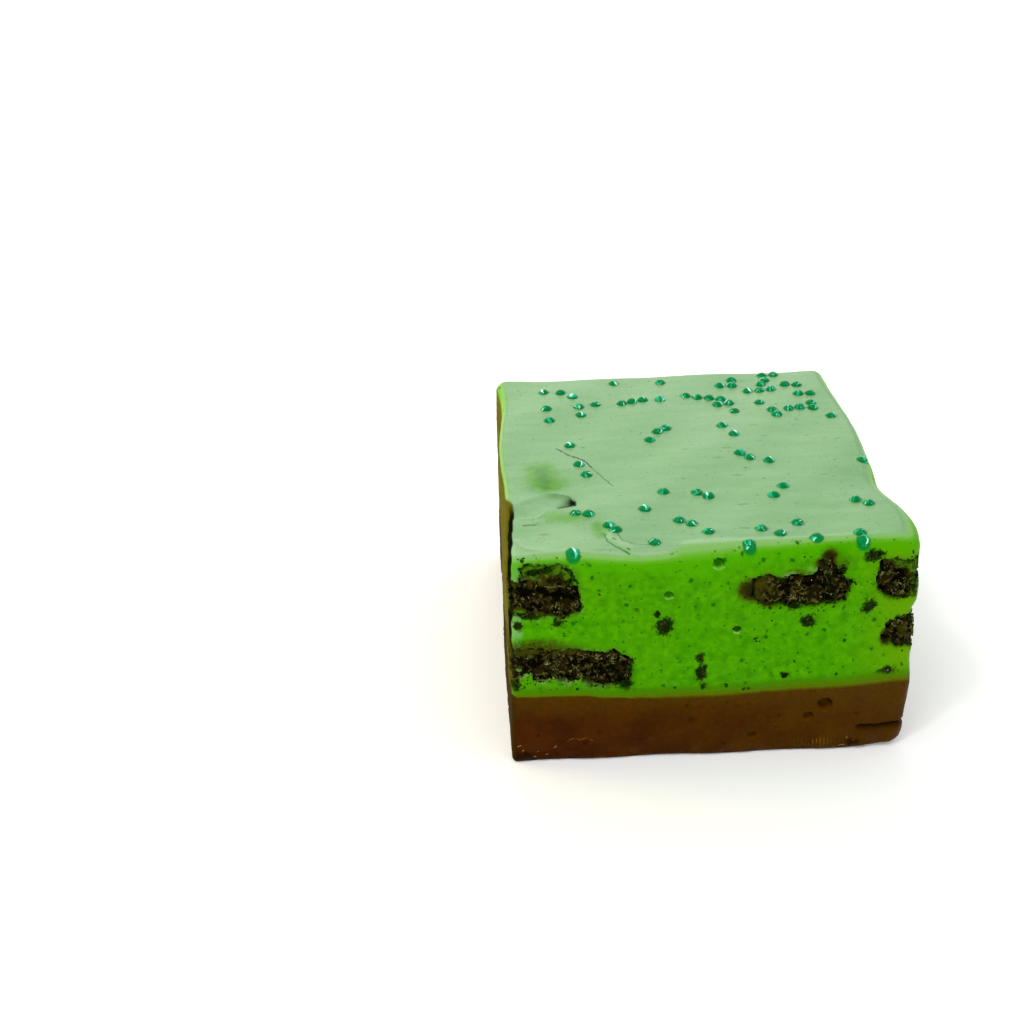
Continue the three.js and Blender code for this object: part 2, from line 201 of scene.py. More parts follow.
def sway(points):
    """Moves points of the plain block to their places in the real, uneven one."""
    x, y, z = points.T
    rise = np.clip((z - BASE) / (HEIGHT - BASE), 0, 1)
    foot = np.clip(z / BASE, 0, 1)
    across = smooth(x / HALF_WIDTH) * right_sway(y, z) - smooth(-x / HALF_WIDTH) * left_sway(y, z)
    along = smooth(y / HALF_DEPTH) * back_sway(x, z) - smooth(-y / HALF_DEPTH) * front_sway(x, z)
    lift = seam_rise(x, y) * np.minimum(foot, 1 - rise) + top_rise(x, y) * rise
    return np.column_stack([x + across - CENTRING, y + along, z + lift])


def unsway(points):
    """The plain block's points for points of the real one."""
    plain = points.copy()
    for _ in range(4):
        plain += points - sway(plain)
    return plain


def rounding(points):
    x, y, z = points.T
    rim = (
        SHARP_RIM
        + (SOFT_RIM - SHARP_RIM) * smooth((x + 12) / 30) * smooth((8 - y) / 30)
        + 0.7 * smooth((y - 10) / 15)
    )
    wear_and_highlight = bump(x, HALF_WIDTH, 4) * bump(y, -HALF_DEPTH, 6)
    sole = SOLE_ROUNDING + (WORN_CORNER - SOLE_ROUNDING) * wear_and_highlight
    to_rim = smooth((z - HEIGHT + ROUNDING_FADE) / ROUNDING_FADE)
    to_sole = smooth((ROUNDING_FADE - z) / ROUNDING_FADE)
    return (
        UPRIGHT_ROUNDING
        + (rim - UPRIGHT_ROUNDING) * to_rim
        + (sole - UPRIGHT_ROUNDING) * to_sole
    )


def core_of(points, radius):
    """The nearest points of the core that the rounded block is swept from."""
    x, y, z = points.T
    return np.column_stack([
        np.clip(x, radius - HALF_WIDTH, HALF_WIDTH - radius),
        np.clip(y, radius - HALF_DEPTH, HALF_DEPTH - radius),
        np.clip(z, radius, HEIGHT - radius),
    ])


def rounded(points, inset=0.0):
    """Rounds the plain block's edges. Gives the points, before any sway, and the way out there."""
    core = core_of(points, rounding(points))
    out = points - core
    reach = np.abs(out).max(axis=1)
    length = np.maximum(np.linalg.norm(out, axis=1), 1e-9)
    way = out / length[:, None]
    moved = core + way * np.maximum(reach - inset, 0)[:, None]
    return np.where(reach[:, None] > 1e-6, moved, points), way


def block_points(points, inset=0.0):
    return sway(rounded(points, inset)[0])


def drawn_inside(points, inset):
    """Draws points that stand out of the block, less its inset, back to that surface."""
    plain = unsway(points)
    radius = rounding(plain)
    core = core_of(plain, radius)
    out = plain - core
    length = np.maximum(np.linalg.norm(out, axis=1), 1e-9)
    limit = radius - inset
    held = core + out * np.minimum(1.0, limit / length)[:, None]
    return sway(held)


# Draws, noise and distances

def draws(seed):
    """Numbers from 0 to 1 in a fixed order for a seed."""
    modulus = 2147483647
    state = seed * 7919
    while True:
        state = (state * 16807) % modulus
        yield state / modulus


def rough(points, size, octaves=3, shift=0.0):
    """Noise from about -1 to 1, whose largest lumps are about size millimetres."""
    offset = Vector((shift, 1.7 * shift, -shift))
    return np.array([
        noise.fractal(Vector(point) / size + offset, 1.0, 2.0, octaves) for point in points.tolist()
    ])


def flat_rough(flat, size, octaves, shift):
    """The same noise for points in x and y alone."""
    return rough(np.column_stack([flat, np.zeros(len(flat))]), size, octaves, shift)


def grains(points, size, shift=0.0):
    """0 in the middle of each grain of about size millimetres, and about 1 between grains."""
    offset = Vector((shift, -shift, 0.5 * shift))
    found = [noise.voronoi(Vector(point) / size + offset)[0][0] for point in points.tolist()]
    return np.clip(np.array(found) * 1.6, 0, 1)


def nearest_distance(points, targets):
    """Distance from each point to the nearest target."""
    found = np.full(len(points), np.inf)
    for target in targets:
        found = np.minimum(found, np.linalg.norm(points - target, axis=1))
    return found


def path_distance(points, path):
    """Distance from each flat point to a path of straight pieces."""
    found = np.full(len(points), np.inf)
    for start, end in zip(path[:-1], path[1:]):
        start, span = np.array(start), np.array(end) - np.array(start)
        share = np.clip((points - start) @ span / (span @ span), 0, 1)
        gap = points - start - share[:, None] * span
        found = np.minimum(found, np.linalg.norm(gap, axis=1))
    return found


# Meshes

def grid_block(steps, open_side):
    """A cube from -1 to 1 in square cells, with one hidden side closed by a single face."""
    bm = bmesh.new()
    bmesh.ops.create_cube(bm, size=2)
    for axis, count in enumerate(steps):
        ring = [
            edge for edge in bm.edges
            if abs(edge.verts[0].co[axis] - edge.verts[1].co[axis]) > 1e-4
        ]
        bmesh.ops.subdivide_edges(bm, edges=ring, cuts=count - 1, use_grid_fill=True)
    hidden = [face for face in bm.faces if all(v.co.z * open_side > 0.9999 for v in face.verts)]
    bmesh.ops.delete(bm, geom=hidden, context="FACES")
    rim = [edge for edge in bm.edges if edge.is_boundary]
    bmesh.ops.holes_fill(bm, edges=rim, sides=0)
    bmesh.ops.recalc_face_normals(bm, faces=bm.faces)
    return bm


def coordinates(mesh):
    flat = np.empty(len(mesh.vertices) * 3, np.float32)
    mesh.vertices.foreach_get("co", flat)
    return flat.reshape(-1, 3).astype(float)


def place_points(mesh, points):
    mesh.vertices.foreach_set("co", points.astype(np.float32).ravel())
    mesh.update()


def keep_fields(mesh, **fields):
    """Keeps a number from 0 to 1 at each point of the mesh, under each name."""
    for name, values in fields.items():
        layer = mesh.attributes.new(name, "FLOAT", "POINT")
        layer.data.foreach_set("value", np.clip(values, 0, 1).astype(np.float32))


def new_piece(name, bm, material):
    mesh = bpy.data.meshes.new(name)
    bm.to_mesh(mesh)
    bm.free()
    piece = bpy.data.objects.new(name, mesh)
    bpy.context.scene.collection.objects.link(piece)
    mesh.materials.append(material)
    mesh.shade_smooth()
    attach(piece, "root")
    return piece


def crowded(t):
    """A place from -1 to 1, moved so that cells grow narrower towards both ends."""
    return 0.5 * t + 0.5 * np.sin(t * math.pi / 2)


def layer_grid(unit, low, high):
    """Spreads the points of the cube over a layer of the plain block."""
    share = (unit[:, 2] + 1) / 2
    return np.column_stack([
        HALF_WIDTH * crowded(unit[:, 0]),
        HALF_DEPTH * crowded(unit[:, 1]),
        low + (high - low) * share,
    ])


# Relief that both layers share, so that they stay flush at the seam

KNIFE_WAVE, KNIFE_WAVE_SIZE = 0.07, 5.0
GRAIN, GRAIN_SIZE = 0.022, 0.7
DRAG, DRAG_SIZE, DRAG_STRETCH = 0.03, 0.9, np.array([0.16, 0.16, 1.0])


def knife_relief(points):
    """The slow waves, the fine grain and the level drag lines that a knife leaves on fudge."""
    slow = rough(points, KNIFE_WAVE_SIZE, 2)
    fine = rough(points, GRAIN_SIZE, 2, 3.0)
    drag = rough(points * DRAG_STRETCH, DRAG_SIZE, 2, 5.0)
    return KNIFE_WAVE * slow + GRAIN * fine + DRAG * drag


def seam_waver(even):
    """How far the seam wanders up and down from its smooth line."""
    flat = even[:, :2]
    near = np.clip(1 - np.abs(even[:, 2] - BASE) / 2, 0, 1)
    return near * (0.1 * flat_rough(flat, 1.6, 3, 21.0) + 0.05 * flat_rough(flat, 0.6, 2, 22.0))


def hole_relief(points, holes):
    """Depth of the air holes, less a thin raised lip."""
    relief = np.zeros(len(points))
    for x, y, z, radius in holes:
        centre = sway(np.array([[x, y, z]]))[0]
        away = np.linalg.norm(points - centre, axis=1) / radius
        relief -= radius * np.sqrt(np.clip(1 - away ** 2, 0, 1)) * 1.1
        relief += 0.06 * bump(away, 1.15, 0.15)
    return relief


def scattered_holes(seed, count, low, high):
    """Small air holes anywhere on the four knife faces, between two heights."""
    draw = draws(seed)
    holes = []
    for _ in range(count):
        side = int(next(draw) * 4)
        along = (2 * next(draw) - 1) * 0.94
        z = low + (high - low) * next(draw)
        radius = 0.14 + 0.26 * next(draw) ** 3
        sign = 1 if side % 2 else -1
        if side < 2:
            holes.append((along * HALF_WIDTH, sign * HALF_DEPTH, z, radius))
        else:
            holes.append((sign * HALF_WIDTH, along * HALF_DEPTH, z, radius))
    return holes


# Cookie pieces

COOKIE_GROWTH = 0.5  # past the solid, into the mint that grips the piece
COOKIE_VOXEL = 0.17
COOKIE_CRAGS, COOKIE_CRAG_SIZE = 0.3, 1.5
COOKIE_GRAINS, COOKIE_GRAIN_SIZE = 0.4, 0.8
COOKIE_INSET = -0.02
COOKIE_REACH = 4.0  # how far from a piece its distance is worked out


def merged_copy(name):
    """A copy of a node's mesh with its loose triangles joined, in millimetres."""
    bm = bmesh.new()
    bm.from_mesh(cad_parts[name].data)
    bmesh.ops.scale(bm, vec=(1 / MM,) * 3, verts=bm.verts)
    bmesh.ops.remove_doubles(bm, verts=bm.verts, dist=0.002)
    return bm


def remeshed(bm, voxel):
    """The same form in even cells."""
    mesh = bpy.data.meshes.new("lump")
    bm.to_mesh(mesh)
    bm.free()
    lump = bpy.data.objects.new("lump", mesh)
    bpy.context.scene.collection.objects.link(lump)
    change = lump.modifiers.new("even", "REMESH")
    change.mode = "VOXEL"
    change.voxel_size = voxel
    depsgraph = bpy.context.evaluated_depsgraph_get()
    even = bmesh.new()
    even.from_object(lump, depsgraph)
    bpy.data.objects.remove(lump)
    bpy.data.meshes.remove(mesh)
    return even


def outward(bm, distance):
    """Moves every point out along its normal."""
    bm.normal_update()
    for vert in bm.verts:
        vert.co += vert.normal * distance


def crumbled_cookie(name, material):
    """The node's piece, grown into the mint, with a torn and grainy surface."""
    bm = remeshed(merged_copy(name), COOKIE_VOXEL)
    outward(bm, COOKIE_GROWTH)
    bmesh.ops.smooth_vert(bm, verts=bm.verts, factor=0.5, use_axis_x=True, use_axis_y=True,
                          use_axis_z=True)
    bm.verts.ensure_lookup_table()
    points = drawn_inside(np.array([v.co[:] for v in bm.verts]), COOKIE_INSET)
    for vert, point in zip(bm.verts, points):
        vert.co = point
    bm.normal_update()
    normals = np.array([v.normal[:] for v in bm.verts])
    crags = COOKIE_CRAGS * (0.4 + rough(points, COOKIE_CRAG_SIZE, 4, 2.0))
    pebbles = COOKIE_GRAINS * grains(points, COOKIE_GRAIN_SIZE, 4.0) ** 2
    film = cookie_smear(name, points)
    sink = (np.clip(crags, 0, None) + pebbles) * (1 - 0.6 * film)
    shaped = points - normals * sink[:, None]
    piece = new_piece("crumbled_" + name, bm, material)
    place_points(piece.data, shaped * MM)
    keep_fields(piece.data, hollow=sink / (COOKIE_CRAGS + COOKIE_GRAINS), smear=film)
    if name.startswith("cookie_front_left"):
        plain = unsway(points)
        keep_fields(piece.data, left=left_side(plain), streak=left_streak(plain))
    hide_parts(name)
    return piece


def cookie_smear(name, points):
    """Where the knife drew a film of fudge over a piece."""
    x, _, z = points.T
    ragged = 0.5 * rough(points, 1.3, 3, 9.0)
    if name == "cookie_front_left_high":
        low = smooth((23.4 - z - 0.25 * (x + 25)) / 1.2 + ragged) * smooth((-15 - x) / 2)
        return np.maximum(smooth((z - 24.8) / 3.6 + ragged), low)
    if name == "cookie_front_right":
        return 0.62 * smooth((8.2 - x) / 4.2 + ragged)
    if name == "cookie_front_left_low":
        return 0.7 * smooth((-13 - x) / 6) * smooth((z - 15.4) / 1.6 + ragged)
    if name == "cookie_corner_high":
        return smooth((z - 26.6 + 0.6 * (x - 21.5)) / 1.2 + ragged)
    return 0.4 * smooth(rough(points, 3.0, 2, 6.0) * 1.5 - 0.2)


# Pearls

def pearl_places():
    """Places of the pearls on the plain block's top: strings first, then the strays."""
    draw = draws(PEARL_SEED)
    places = []
    for x, y, count, heading in PEARL_STRINGS:
        angle = math.radians(heading)
        for i in range(count):
            aside = (next(draw) - 0.5) * PEARL_WANDER if count > 1 else 0
            places.append((
                x + math.cos(angle) * PEARL_PITCH * i - math.sin(angle) * aside,
                y + math.sin(angle) * PEARL_PITCH * i + math.cos(angle) * aside,
            ))
    scatter = draws(PEARL_DRIFT["seed"])
    whole = len(places) + PEARL_DRIFT["count"]
    while len(places) < whole:
        x = PEARL_DRIFT["x"] + (2 * next(scatter) - 1) * PEARL_DRIFT["reach_x"]
        y = PEARL_DRIFT["y"] + (2 * next(scatter) - 1) * PEARL_DRIFT["reach_y"]
        if all(math.hypot(px - x, py - y) > PEARL_PITCH for px, py in places):
            places.append((x, y))
    return places


def pearl_centres():
    """Centres of the pearls, sunk a little under the skin, and the way out of it there."""
    flat = np.array([(x, y, HEIGHT) for x, y in pearl_places()])
    step = 0.2
    top = block_points(flat)
    across = block_points(flat + [step, 0, 0]) - top
    along = block_points(flat + [0, step, 0]) - top
    way = np.cross(across, along)
    way /= np.linalg.norm(way, axis=1)[:, None]
    return top - way * PEARL_SINK, way


PEARL_SETTLE = 0.01  # how much deeper a pearl sinks as the fudge sets


def sugar_pearls(centres, ways, material):
    """The pearls. Each knows how far up its crown and how far from the spot of its painted highlight a
    point is.
    """
    bm = bmesh.new()
    draw = draws(PEARL_TURN_SEED)
    crowns, wear_and_highlight = [], []
    for centre, way in zip(centres, ways):
        size = PEARL_RADIUS * (1.0 + 0.12 * next(draw))
        way = Vector(way)
        middle = (Vector(centre) - way * PEARL_SETTLE) * MM
        place = Matrix.Translation(middle) @ Matrix.Rotation(next(draw) * 6, 4, "X")
        spot = (way + Vector((1.4 * next(draw) - 0.7, 0.5 * next(draw) - 0.9, 0))).normalized()
        made = bmesh.ops.create_uvsphere(
            bm, u_segments=20, v_segments=12, radius=size * MM, matrix=place)
        for vert in made["verts"]:
            out = (vert.co - middle).normalized()
            crowns.append(out.dot(way))
            wear_and_highlight.append((out - spot)[:])
    piece = new_piece("sugar_pearls", bm, material)
    keep_fields(piece.data, crown=0.5 + 0.5 * np.array(crowns))
    layer = piece.data.attributes.new("from_worn", "FLOAT_VECTOR", "POINT")
    layer.data.foreach_set("vector", np.array(wear_and_highlight, np.float32).ravel())
    return piece


# Mint layer

POCKET_DEPTH = 1.5
POCKET_REACH = 0.4
PEARL_HUG = 0.03
RIM_PEARLS, REFLECTION_DROP = 1.9, 1.0  # painted reflections show below the pearls this near the front, so far

# Teeth of fudge dragged up over the low wafer's edge: x and rise, slow up to each tip, then steep
TEETH = [(-26, -0.4), (-24.6, -0.5), (-22.5, 1.2), (-22.3, -0.1), (-20.9, -0.5), (-19.5, 0.8),
         (-19.2, -0.2), (-18.2, -0.8), (-16.2, 0.9), (-16.0, -0.7), (-15.0, -0.9), (-14.3, 0.4),
         (-14.1, -0.3), (-12.6, -0.2), (-11.5, 0)]
TEETH_HEIGHT = 12.6

# The flap of skin that the knife turned over, and its torn edge, in x and y
FLAP = [(-12.1, -24.4), (-11.7, -26.2), (-10.4, -27.8)]
FLAP_EDGE = [(-12.9, -24.1), (-12.7, -26), (-11.7, -27.7), (-10.3, -28.8)]

# Marks in the skin of the top, in x and y: the path, half its width and its depth
TOP_MARKS = [
    dict(path=FLAP_EDGE, width=0.25, depth=0.14),
    dict(path=[(-12.2, -23.8), (-11.9, -26), (-10.7, -27.6)], width=0.5, depth=-0.05),
    dict(path=[(-21.3, -18.8), (-20.6, -17.6), (-19.6, -16.5)], width=0.3, depth=-0.12),
    dict(path=[(-23, -18.6), (-21.3, -18.4), (-21, -19.8)], width=0.3, depth=-0.12),
    dict(path=[(-24.0, -15.3), (-21.6, -12.7), (-18.6, -11.4), (-16.9, -12.2)], width=0.7, depth=-0.1),
    dict(path=[(-23.9, -24.6), (-23.0, -26.8), (-21.1, -27.7)], width=0.4, depth=-0.1),
    dict(path=[(-22.5, -17.6), (-19.5, -15.2), (-16.5, -14.8)], width=1.5, depth=0.2),
]

# Dark marks in the top: painted shade at the near end of the rolled lip over a buried piece, and a
# faint olive dab: path, half its width, strength
DARK_MARKS = [
    dict(path=[(-17.9, -15.3), (-16.2, -14.9)], width=0.3, dark=0.9),
    dict(path=[(-22.6, -20.7), (-21.4, -20.6)], width=0.4, dark=0.12),
]

# The painted shade of the rolled lip over a buried piece: an arc that is darkest at its near end and
# fades inwards
LIP = dict(x=-19.2, y=-14.6, radius=3.5, fade=0.8)

# Greener patches of painted shade in the skin of the top: path, half the width and strength
SHADED_PATCHES = [
    dict(path=[(-13.5, -21.4), (-13.5, -24.6)], width=0.9, green=0.5),
    dict(path=[(-19, -18.2), (-16.6, -19.2)], width=2.0, green=0.45),
    dict(path=[(-19.6, -4.2), (-19.2, -8.6)], width=2.5, green=0.6),
]

# The skin's edge along the front: x, how far over the bend it starts and how far it fades out
SKIN_EDGE = [(-25, 0.1, 1.8), (-17, 0.1, 1.8), (-12, 0.5, 1.6), (-9, 0.8, 1.6), (-5.4, 0.8, 1.7),
             (-3.4, -0.4, 3.0), (0, -0.45, 2.9), (5, -0.25, 2.1), (8, 0, 1.7), (13, 0, 1.6),
             (17, 0.1, 1.4), (25, 0.15, 1.8)]
PLAIN_START, PLAIN_FADE = 0.3, 1.8
SKIN_STEP = -4.4  # where the skin's edge steps up along the front
FADE_SPAN = 4.0  # the range of fade that its attribute holds, from -1 to 3


def cookie_distance(points, tree, low, high):
    """Distance to a cookie's solid for the points near it, and far for the others."""
    found = np.full(len(points), FAR)
    near = np.all((points > low - COOKIE_REACH) & (points < high + COOKIE_REACH), axis=1)
    for index in np.nonzero(near)[0]:
        found[index] = tree.find_nearest(Vector(points[index]))[3]
    return found


def cookie_trees():
    trees = []
    for name in COOKIE_NODES:
        bm = merged_copy(name)
        corners = np.array([v.co[:] for v in bm.verts])
        trees.append((BVHTree.FromBMesh(bm), corners.min(0), corners.max(0)))
        bm.free()
    return trees


def distance_to_cookies(points, trees):
    return np.min([cookie_distance(points, *tree) for tree in trees], axis=0)


def torn_teeth(points):
    """Points moved down where teeth of fudge were dragged up over the low wafer's edge."""
    x, y, z = points.T
    rise = np.interp(x + CENTRING, *np.array(TEETH).T)
    drop = rise * smooth((-y - HALF_DEPTH + 2.5) / 1.5) * bump(z, TEETH_HEIGHT, 1.9)
    return points - np.column_stack([np.zeros_like(x), np.zeros_like(x), drop])


def top_relief(flat):
    """Grooves and ridges of the marks in the skin."""
    relief = np.zeros(len(flat))
    for mark in TOP_MARKS:
        away = path_distance(flat, mark["path"]) / mark["width"]
        relief -= mark["depth"] * np.exp(-(away ** 2))
        if mark["depth"] > 0:
            relief += 0.3 * mark["depth"] * bump(away, 2.2, 0.9)
    return relief


def patch_field(flat, patches, strength):
    """How strongly the patches, each along its path, tint the points of the top."""
    wander = 0.35 * flat_rough(flat, 1.2, 3, 14.0)
    field = np.zeros(len(flat))
    for patch in patches:
        away = path_distance(flat, patch["path"]) / patch["width"] + wander
        field = np.maximum(field, patch[strength] * np.exp(-np.clip(away, 0, None) ** 2))
    return field


def lip_shade(flat):
    """The painted shade of the rolled lip."""
    away = flat - [LIP["x"], LIP["y"]]
    reach = LIP["radius"] + 0.2 * flat_rough(flat, 1.5, 2, 31.0)
    inward = reach - np.linalg.norm(away, axis=1)
    turn = np.degrees(np.arctan2(away[:, 1], away[:, 0]))
    along = smooth((turn + 12) / 10) * (0.45 + 2 * smooth((44 - turn) / 44)) * smooth((120 - turn) / 50)
    return np.exp(-np.clip(inward, 0, None) / LIP["fade"]) * smooth((inward + 0.15) / 0.25) * along


def skin_fade(even):
    """Below 0 where the skin of the top is whole, and 1 where it has faded into the cut front."""
    x, y, z = even.T
    inward = np.minimum(HALF_WIDTH - np.abs(x), HALF_DEPTH - np.abs(y))
    bend = rounding(np.column_stack([x, y, np.full(len(x), HEIGHT)]))
    over = 0.5 * (bend - inward) + HEIGHT - z + 0.1 * rough(even, 1.5, 3, 40.0)
    edge_x, edge_start, edge_fade = np.array(SKIN_EDGE).T
    front = smooth((8 - HALF_DEPTH - y) / 5)
    start = PLAIN_START + (np.interp(x, edge_x, edge_start) - PLAIN_START) * front
    fade = PLAIN_FADE + (np.interp(x, edge_x, edge_fade) - PLAIN_FADE) * front
    return (over - start) / fade


def front_field(even, spots, margin, power):
    """The strength of a spot, or 1, in the middle of each in the front, and 0 away from them."""
    x, y, z = even.T
    front = y < -HALF_DEPTH + 1.5
    field = np.zeros(len(even))
    for cx, cz, half_width, half_height, *strength in spots:
        away = ((x - cx) / (half_width + margin)) ** 2 + ((z - cz) / (half_height + margin)) ** 2
        field = np.maximum(field, np.prod(strength) * np.exp(-(away ** power)))
    return field * front


def pearl_reflections():
    """Middles of the painted reflections below the pearls at the front rim."""
    found = []
    for x, y in pearl_places():
        if y < RIM_PEARLS - HALF_DEPTH:
            past = max(-HALF_DEPTH - (y - REFLECTION_DROP), 0)
            found.append((x, max(y - REFLECTION_DROP, -HALF_DEPTH), HEIGHT - past))
    return block_points(np.array(found))


def mint_fudge(centres, trees, material):
    piece = new_piece("mint_fudge", grid_block(MINT_STEPS, -1), material)
    mesh = piece.data
    even, way = rounded(layer_grid(coordinates(mesh), BASE - SEAM_LAP, HEIGHT))
    points = sway(even)
    x, y, z = even.T
    hidden = smooth((BASE - z) / SEAM_LAP)
    lift = smooth((way[:, 2] - 0.55) / 0.4)
    side = 1 - lift

    to_cookie = distance_to_cookies(torn_teeth(points), trees)
    ragged = 0.28 * rough(points, 1.1, 3, 1.0) + 0.18 * rough(points, 0.45, 2, 7.0)
    pocket = smooth((POCKET_REACH - (to_cookie + ragged)) / 0.14 + 0.5)
    crumble = 0.14 * rough(points, 0.7, 3, 4.0) * np.exp(-to_cookie / 0.8) * side

    to_pearl = nearest_distance(points, centres)
    to_reflection = nearest_distance(points, pearl_reflections())
    # dye round each pearl, and painted reflections under the pearls at the front rim
    bleed = np.maximum(smooth((PEARL_RADIUS + 0.3 - to_pearl) / 0.3),
                       smooth((1.2 - to_reflection) / 0.7))
    hug = PEARL_HUG * bump(to_pearl, PEARL_RADIUS, 0.22)
    flat = points[:, :2] + [CENTRING, 0]
    skin_wave = 0.025 * rough(points, 4.0, 2, 8.0) + 0.006 * rough(points, 1.0, 2, 2.0)

    pits = hole_relief(points, MINT_HOLES + scattered_holes(**MINT_BUBBLES))
    relief = side * (knife_relief(points) + pits) + crumble
    relief += lift * (skin_wave + hug + top_relief(flat)) - POCKET_DEPTH * pocket
    points = points + way * (relief * (1 - hidden) - SEAM_TUCK * hidden)[:, None]
    points[:, 2] += seam_waver(even)
    place_points(mesh, points * MM)

    fade = skin_fade(even)
    lipless = np.clip(1.4 - np.abs(x - SKIN_STEP), 0, 1)
    lipless = np.maximum(lipless, smooth((x - 20) / 3))
    near_front = smooth((6 - HALF_DEPTH - y) / 5)
    dark = np.maximum(patch_field(flat, DARK_MARKS, "dark"), lip_shade(flat))
    keep_fields(
        mesh,
        skin=1 - smooth(fade / 0.5),
        fade=fade / FADE_SPAN + 0.25,
        lip=bump(fade, 0.02, 0.1) * (1 - lipless) * near_front,
        bend=-way[:, 1],
        stain=np.exp(-np.maximum(to_cookie - 0.2, 0) / 0.8),
        haze=rim_haze(even, to_cookie),
        cluster=front_field(even, CRUMB_CLUSTERS, 0.25, 1),
        smudge=front_field(even, SMUDGES, 0, 1.5),
        film=front_field(even, FILMS, 0, 1.5),
        bleed=bleed,
        dark=dark * lift,
        green=patch_field(flat, SHADED_PATCHES, "green") * lift,
        teeth=bump(z, TEETH_HEIGHT, 1.6) * smooth((-11.5 - x) / 2),
        pit=-side * pits / 0.45,
        seam=np.exp(-np.maximum(z - BASE, 0) / 0.6),
        streak=left_streak(even),
        glaze=left_glaze_and_sheen(even),
        bloom=bump(x, -19, 6) * bump(y, -27, 5),
        left=left_side(even),
    )
    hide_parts("mint_layer")
    return piece


def rim_haze(even, to_cookie):
    """Cookie oil in the fudge round the pieces, widest where the knife dragged it."""
    x, _, z = even.T
    dragged = 1.4 * bump(x, 4.0, 2.0) * bump(z, 24.6, 1.8) + bump(x, -20, 4) * bump(z, 27.4, 1.4)
    dragged += bump(x, -19, 6) * bump(z, 17.6, 0.9)
    return np.exp(-np.maximum(to_cookie - 0.3, 0) / (0.35 + 0.6 * dragged))


def left_reach(even):
    """How far the painted strip of the left side reaches in over the front and the top."""
    _, y, z = even.T
    back = y + HALF_DEPTH
    wander = 0.1 * np.sin(0.9 * z) + 0.06 * np.sin(2.3 * z + 1) + 0.05 * np.sin(1.7 * y)
    reach = 0.35 + wander + 0.45 * smooth(back / 5) + 0.25 * smooth((back - 5) / 6)
    return reach * (0.3 + 0.7 * smooth((z - 13) / 5))


def left_streak(even):
    """The black streak down the upright edge at the front left, and back along the rim."""
    inward, back = even[:, 0] + HALF_WIDTH, even[:, 1] + HALF_DEPTH
    reach = left_reach(even)
    width = 1.4 - 0.7 * smooth((back - 2) / 3)
    inside = smooth((reach - inward) / 0.12) * smooth((inward - reach + width) / 0.15)
    ragged = 0.6 * rough(even, 1.6, 3, 21.0)
    inside *= 1 - smooth((0.3 - inward) / 0.2) * smooth((back - 0.5) / 2.6 + ragged)
    return inside * smooth((15 - 11 * smooth((17 - even[:, 2]) / 4) - back) / 4)


def left_side(even):
    """The left side, painted gold for light and shade, and the strip of it that reaches over the rim at
    the front.
    """
    inward, back = even[:, 0] + HALF_WIDTH, even[:, 1] + HALF_DEPTH
    reach = 0.15 + (left_reach(even) - 0.15) * smooth((18 - back) / 5)
    return smooth((reach - inward) / 0.15)


def left_glaze_and_sheen(even):
    """The pale film on the front beside the left edge, and the painted sheen of that rounded edge."""
    x, y, z = even.T
    ragged = 0.6 * rough(even, 1.4, 3, 15.0)
    limit = -23.3 + 0.2 * smooth((z - 24.5) / 1.5)
    near = smooth((limit - x) / 0.7 + ragged) * smooth((z - 17.0) / 3 + ragged)
    return near * smooth((-y - HALF_DEPTH + 1.2) / 0.6)


# Chocolate layer

FLAKE_SWELL = 0.18
FRINGE = dict(x=13.8, z=1.4, reach_x=1.9, reach_z=0.55, pitch=0.48, height=0.12)


def split_relief(even):
    """The split low on the right of the front, the flake under it and the torn fringe beside it, and
    the painted shade in and under the split.
    """
    x, y, z = even.T
    front = smooth((-y - HALF_DEPTH + 2.5) / 1.5)
    wander = -0.15 + 0.1 * np.sin(1.1 * x) + 0.14 * rough(even, 0.9, 3, 30.0)
    line = SPLIT["z"] + wander
    along = smooth((x - SPLIT["x"] + SPLIT["length"] / 2) / 1.2)
    gap = np.exp(-(((z - line) / SPLIT["opening"]) ** 2)) * along
    flake = smooth((line - z) / 0.5) * smooth((x - 18.6) / 1.0) * along
    comb = 0.5 + 0.5 * np.sin(x * 2 * math.pi / FRINGE["pitch"])
    fringe = bump(x, FRINGE["x"], FRINGE["reach_x"]) * bump(z, FRINGE["z"], FRINGE["reach_z"])
    return (
        front * (FLAKE_SWELL * flake - 0.7 * gap + FRINGE["height"] * comb * fringe),
        front * np.maximum(gap, 0.6 * np.exp(-(((z - line + 0.1) / 0.45) ** 2)) * along),
        front * fringe,
    )


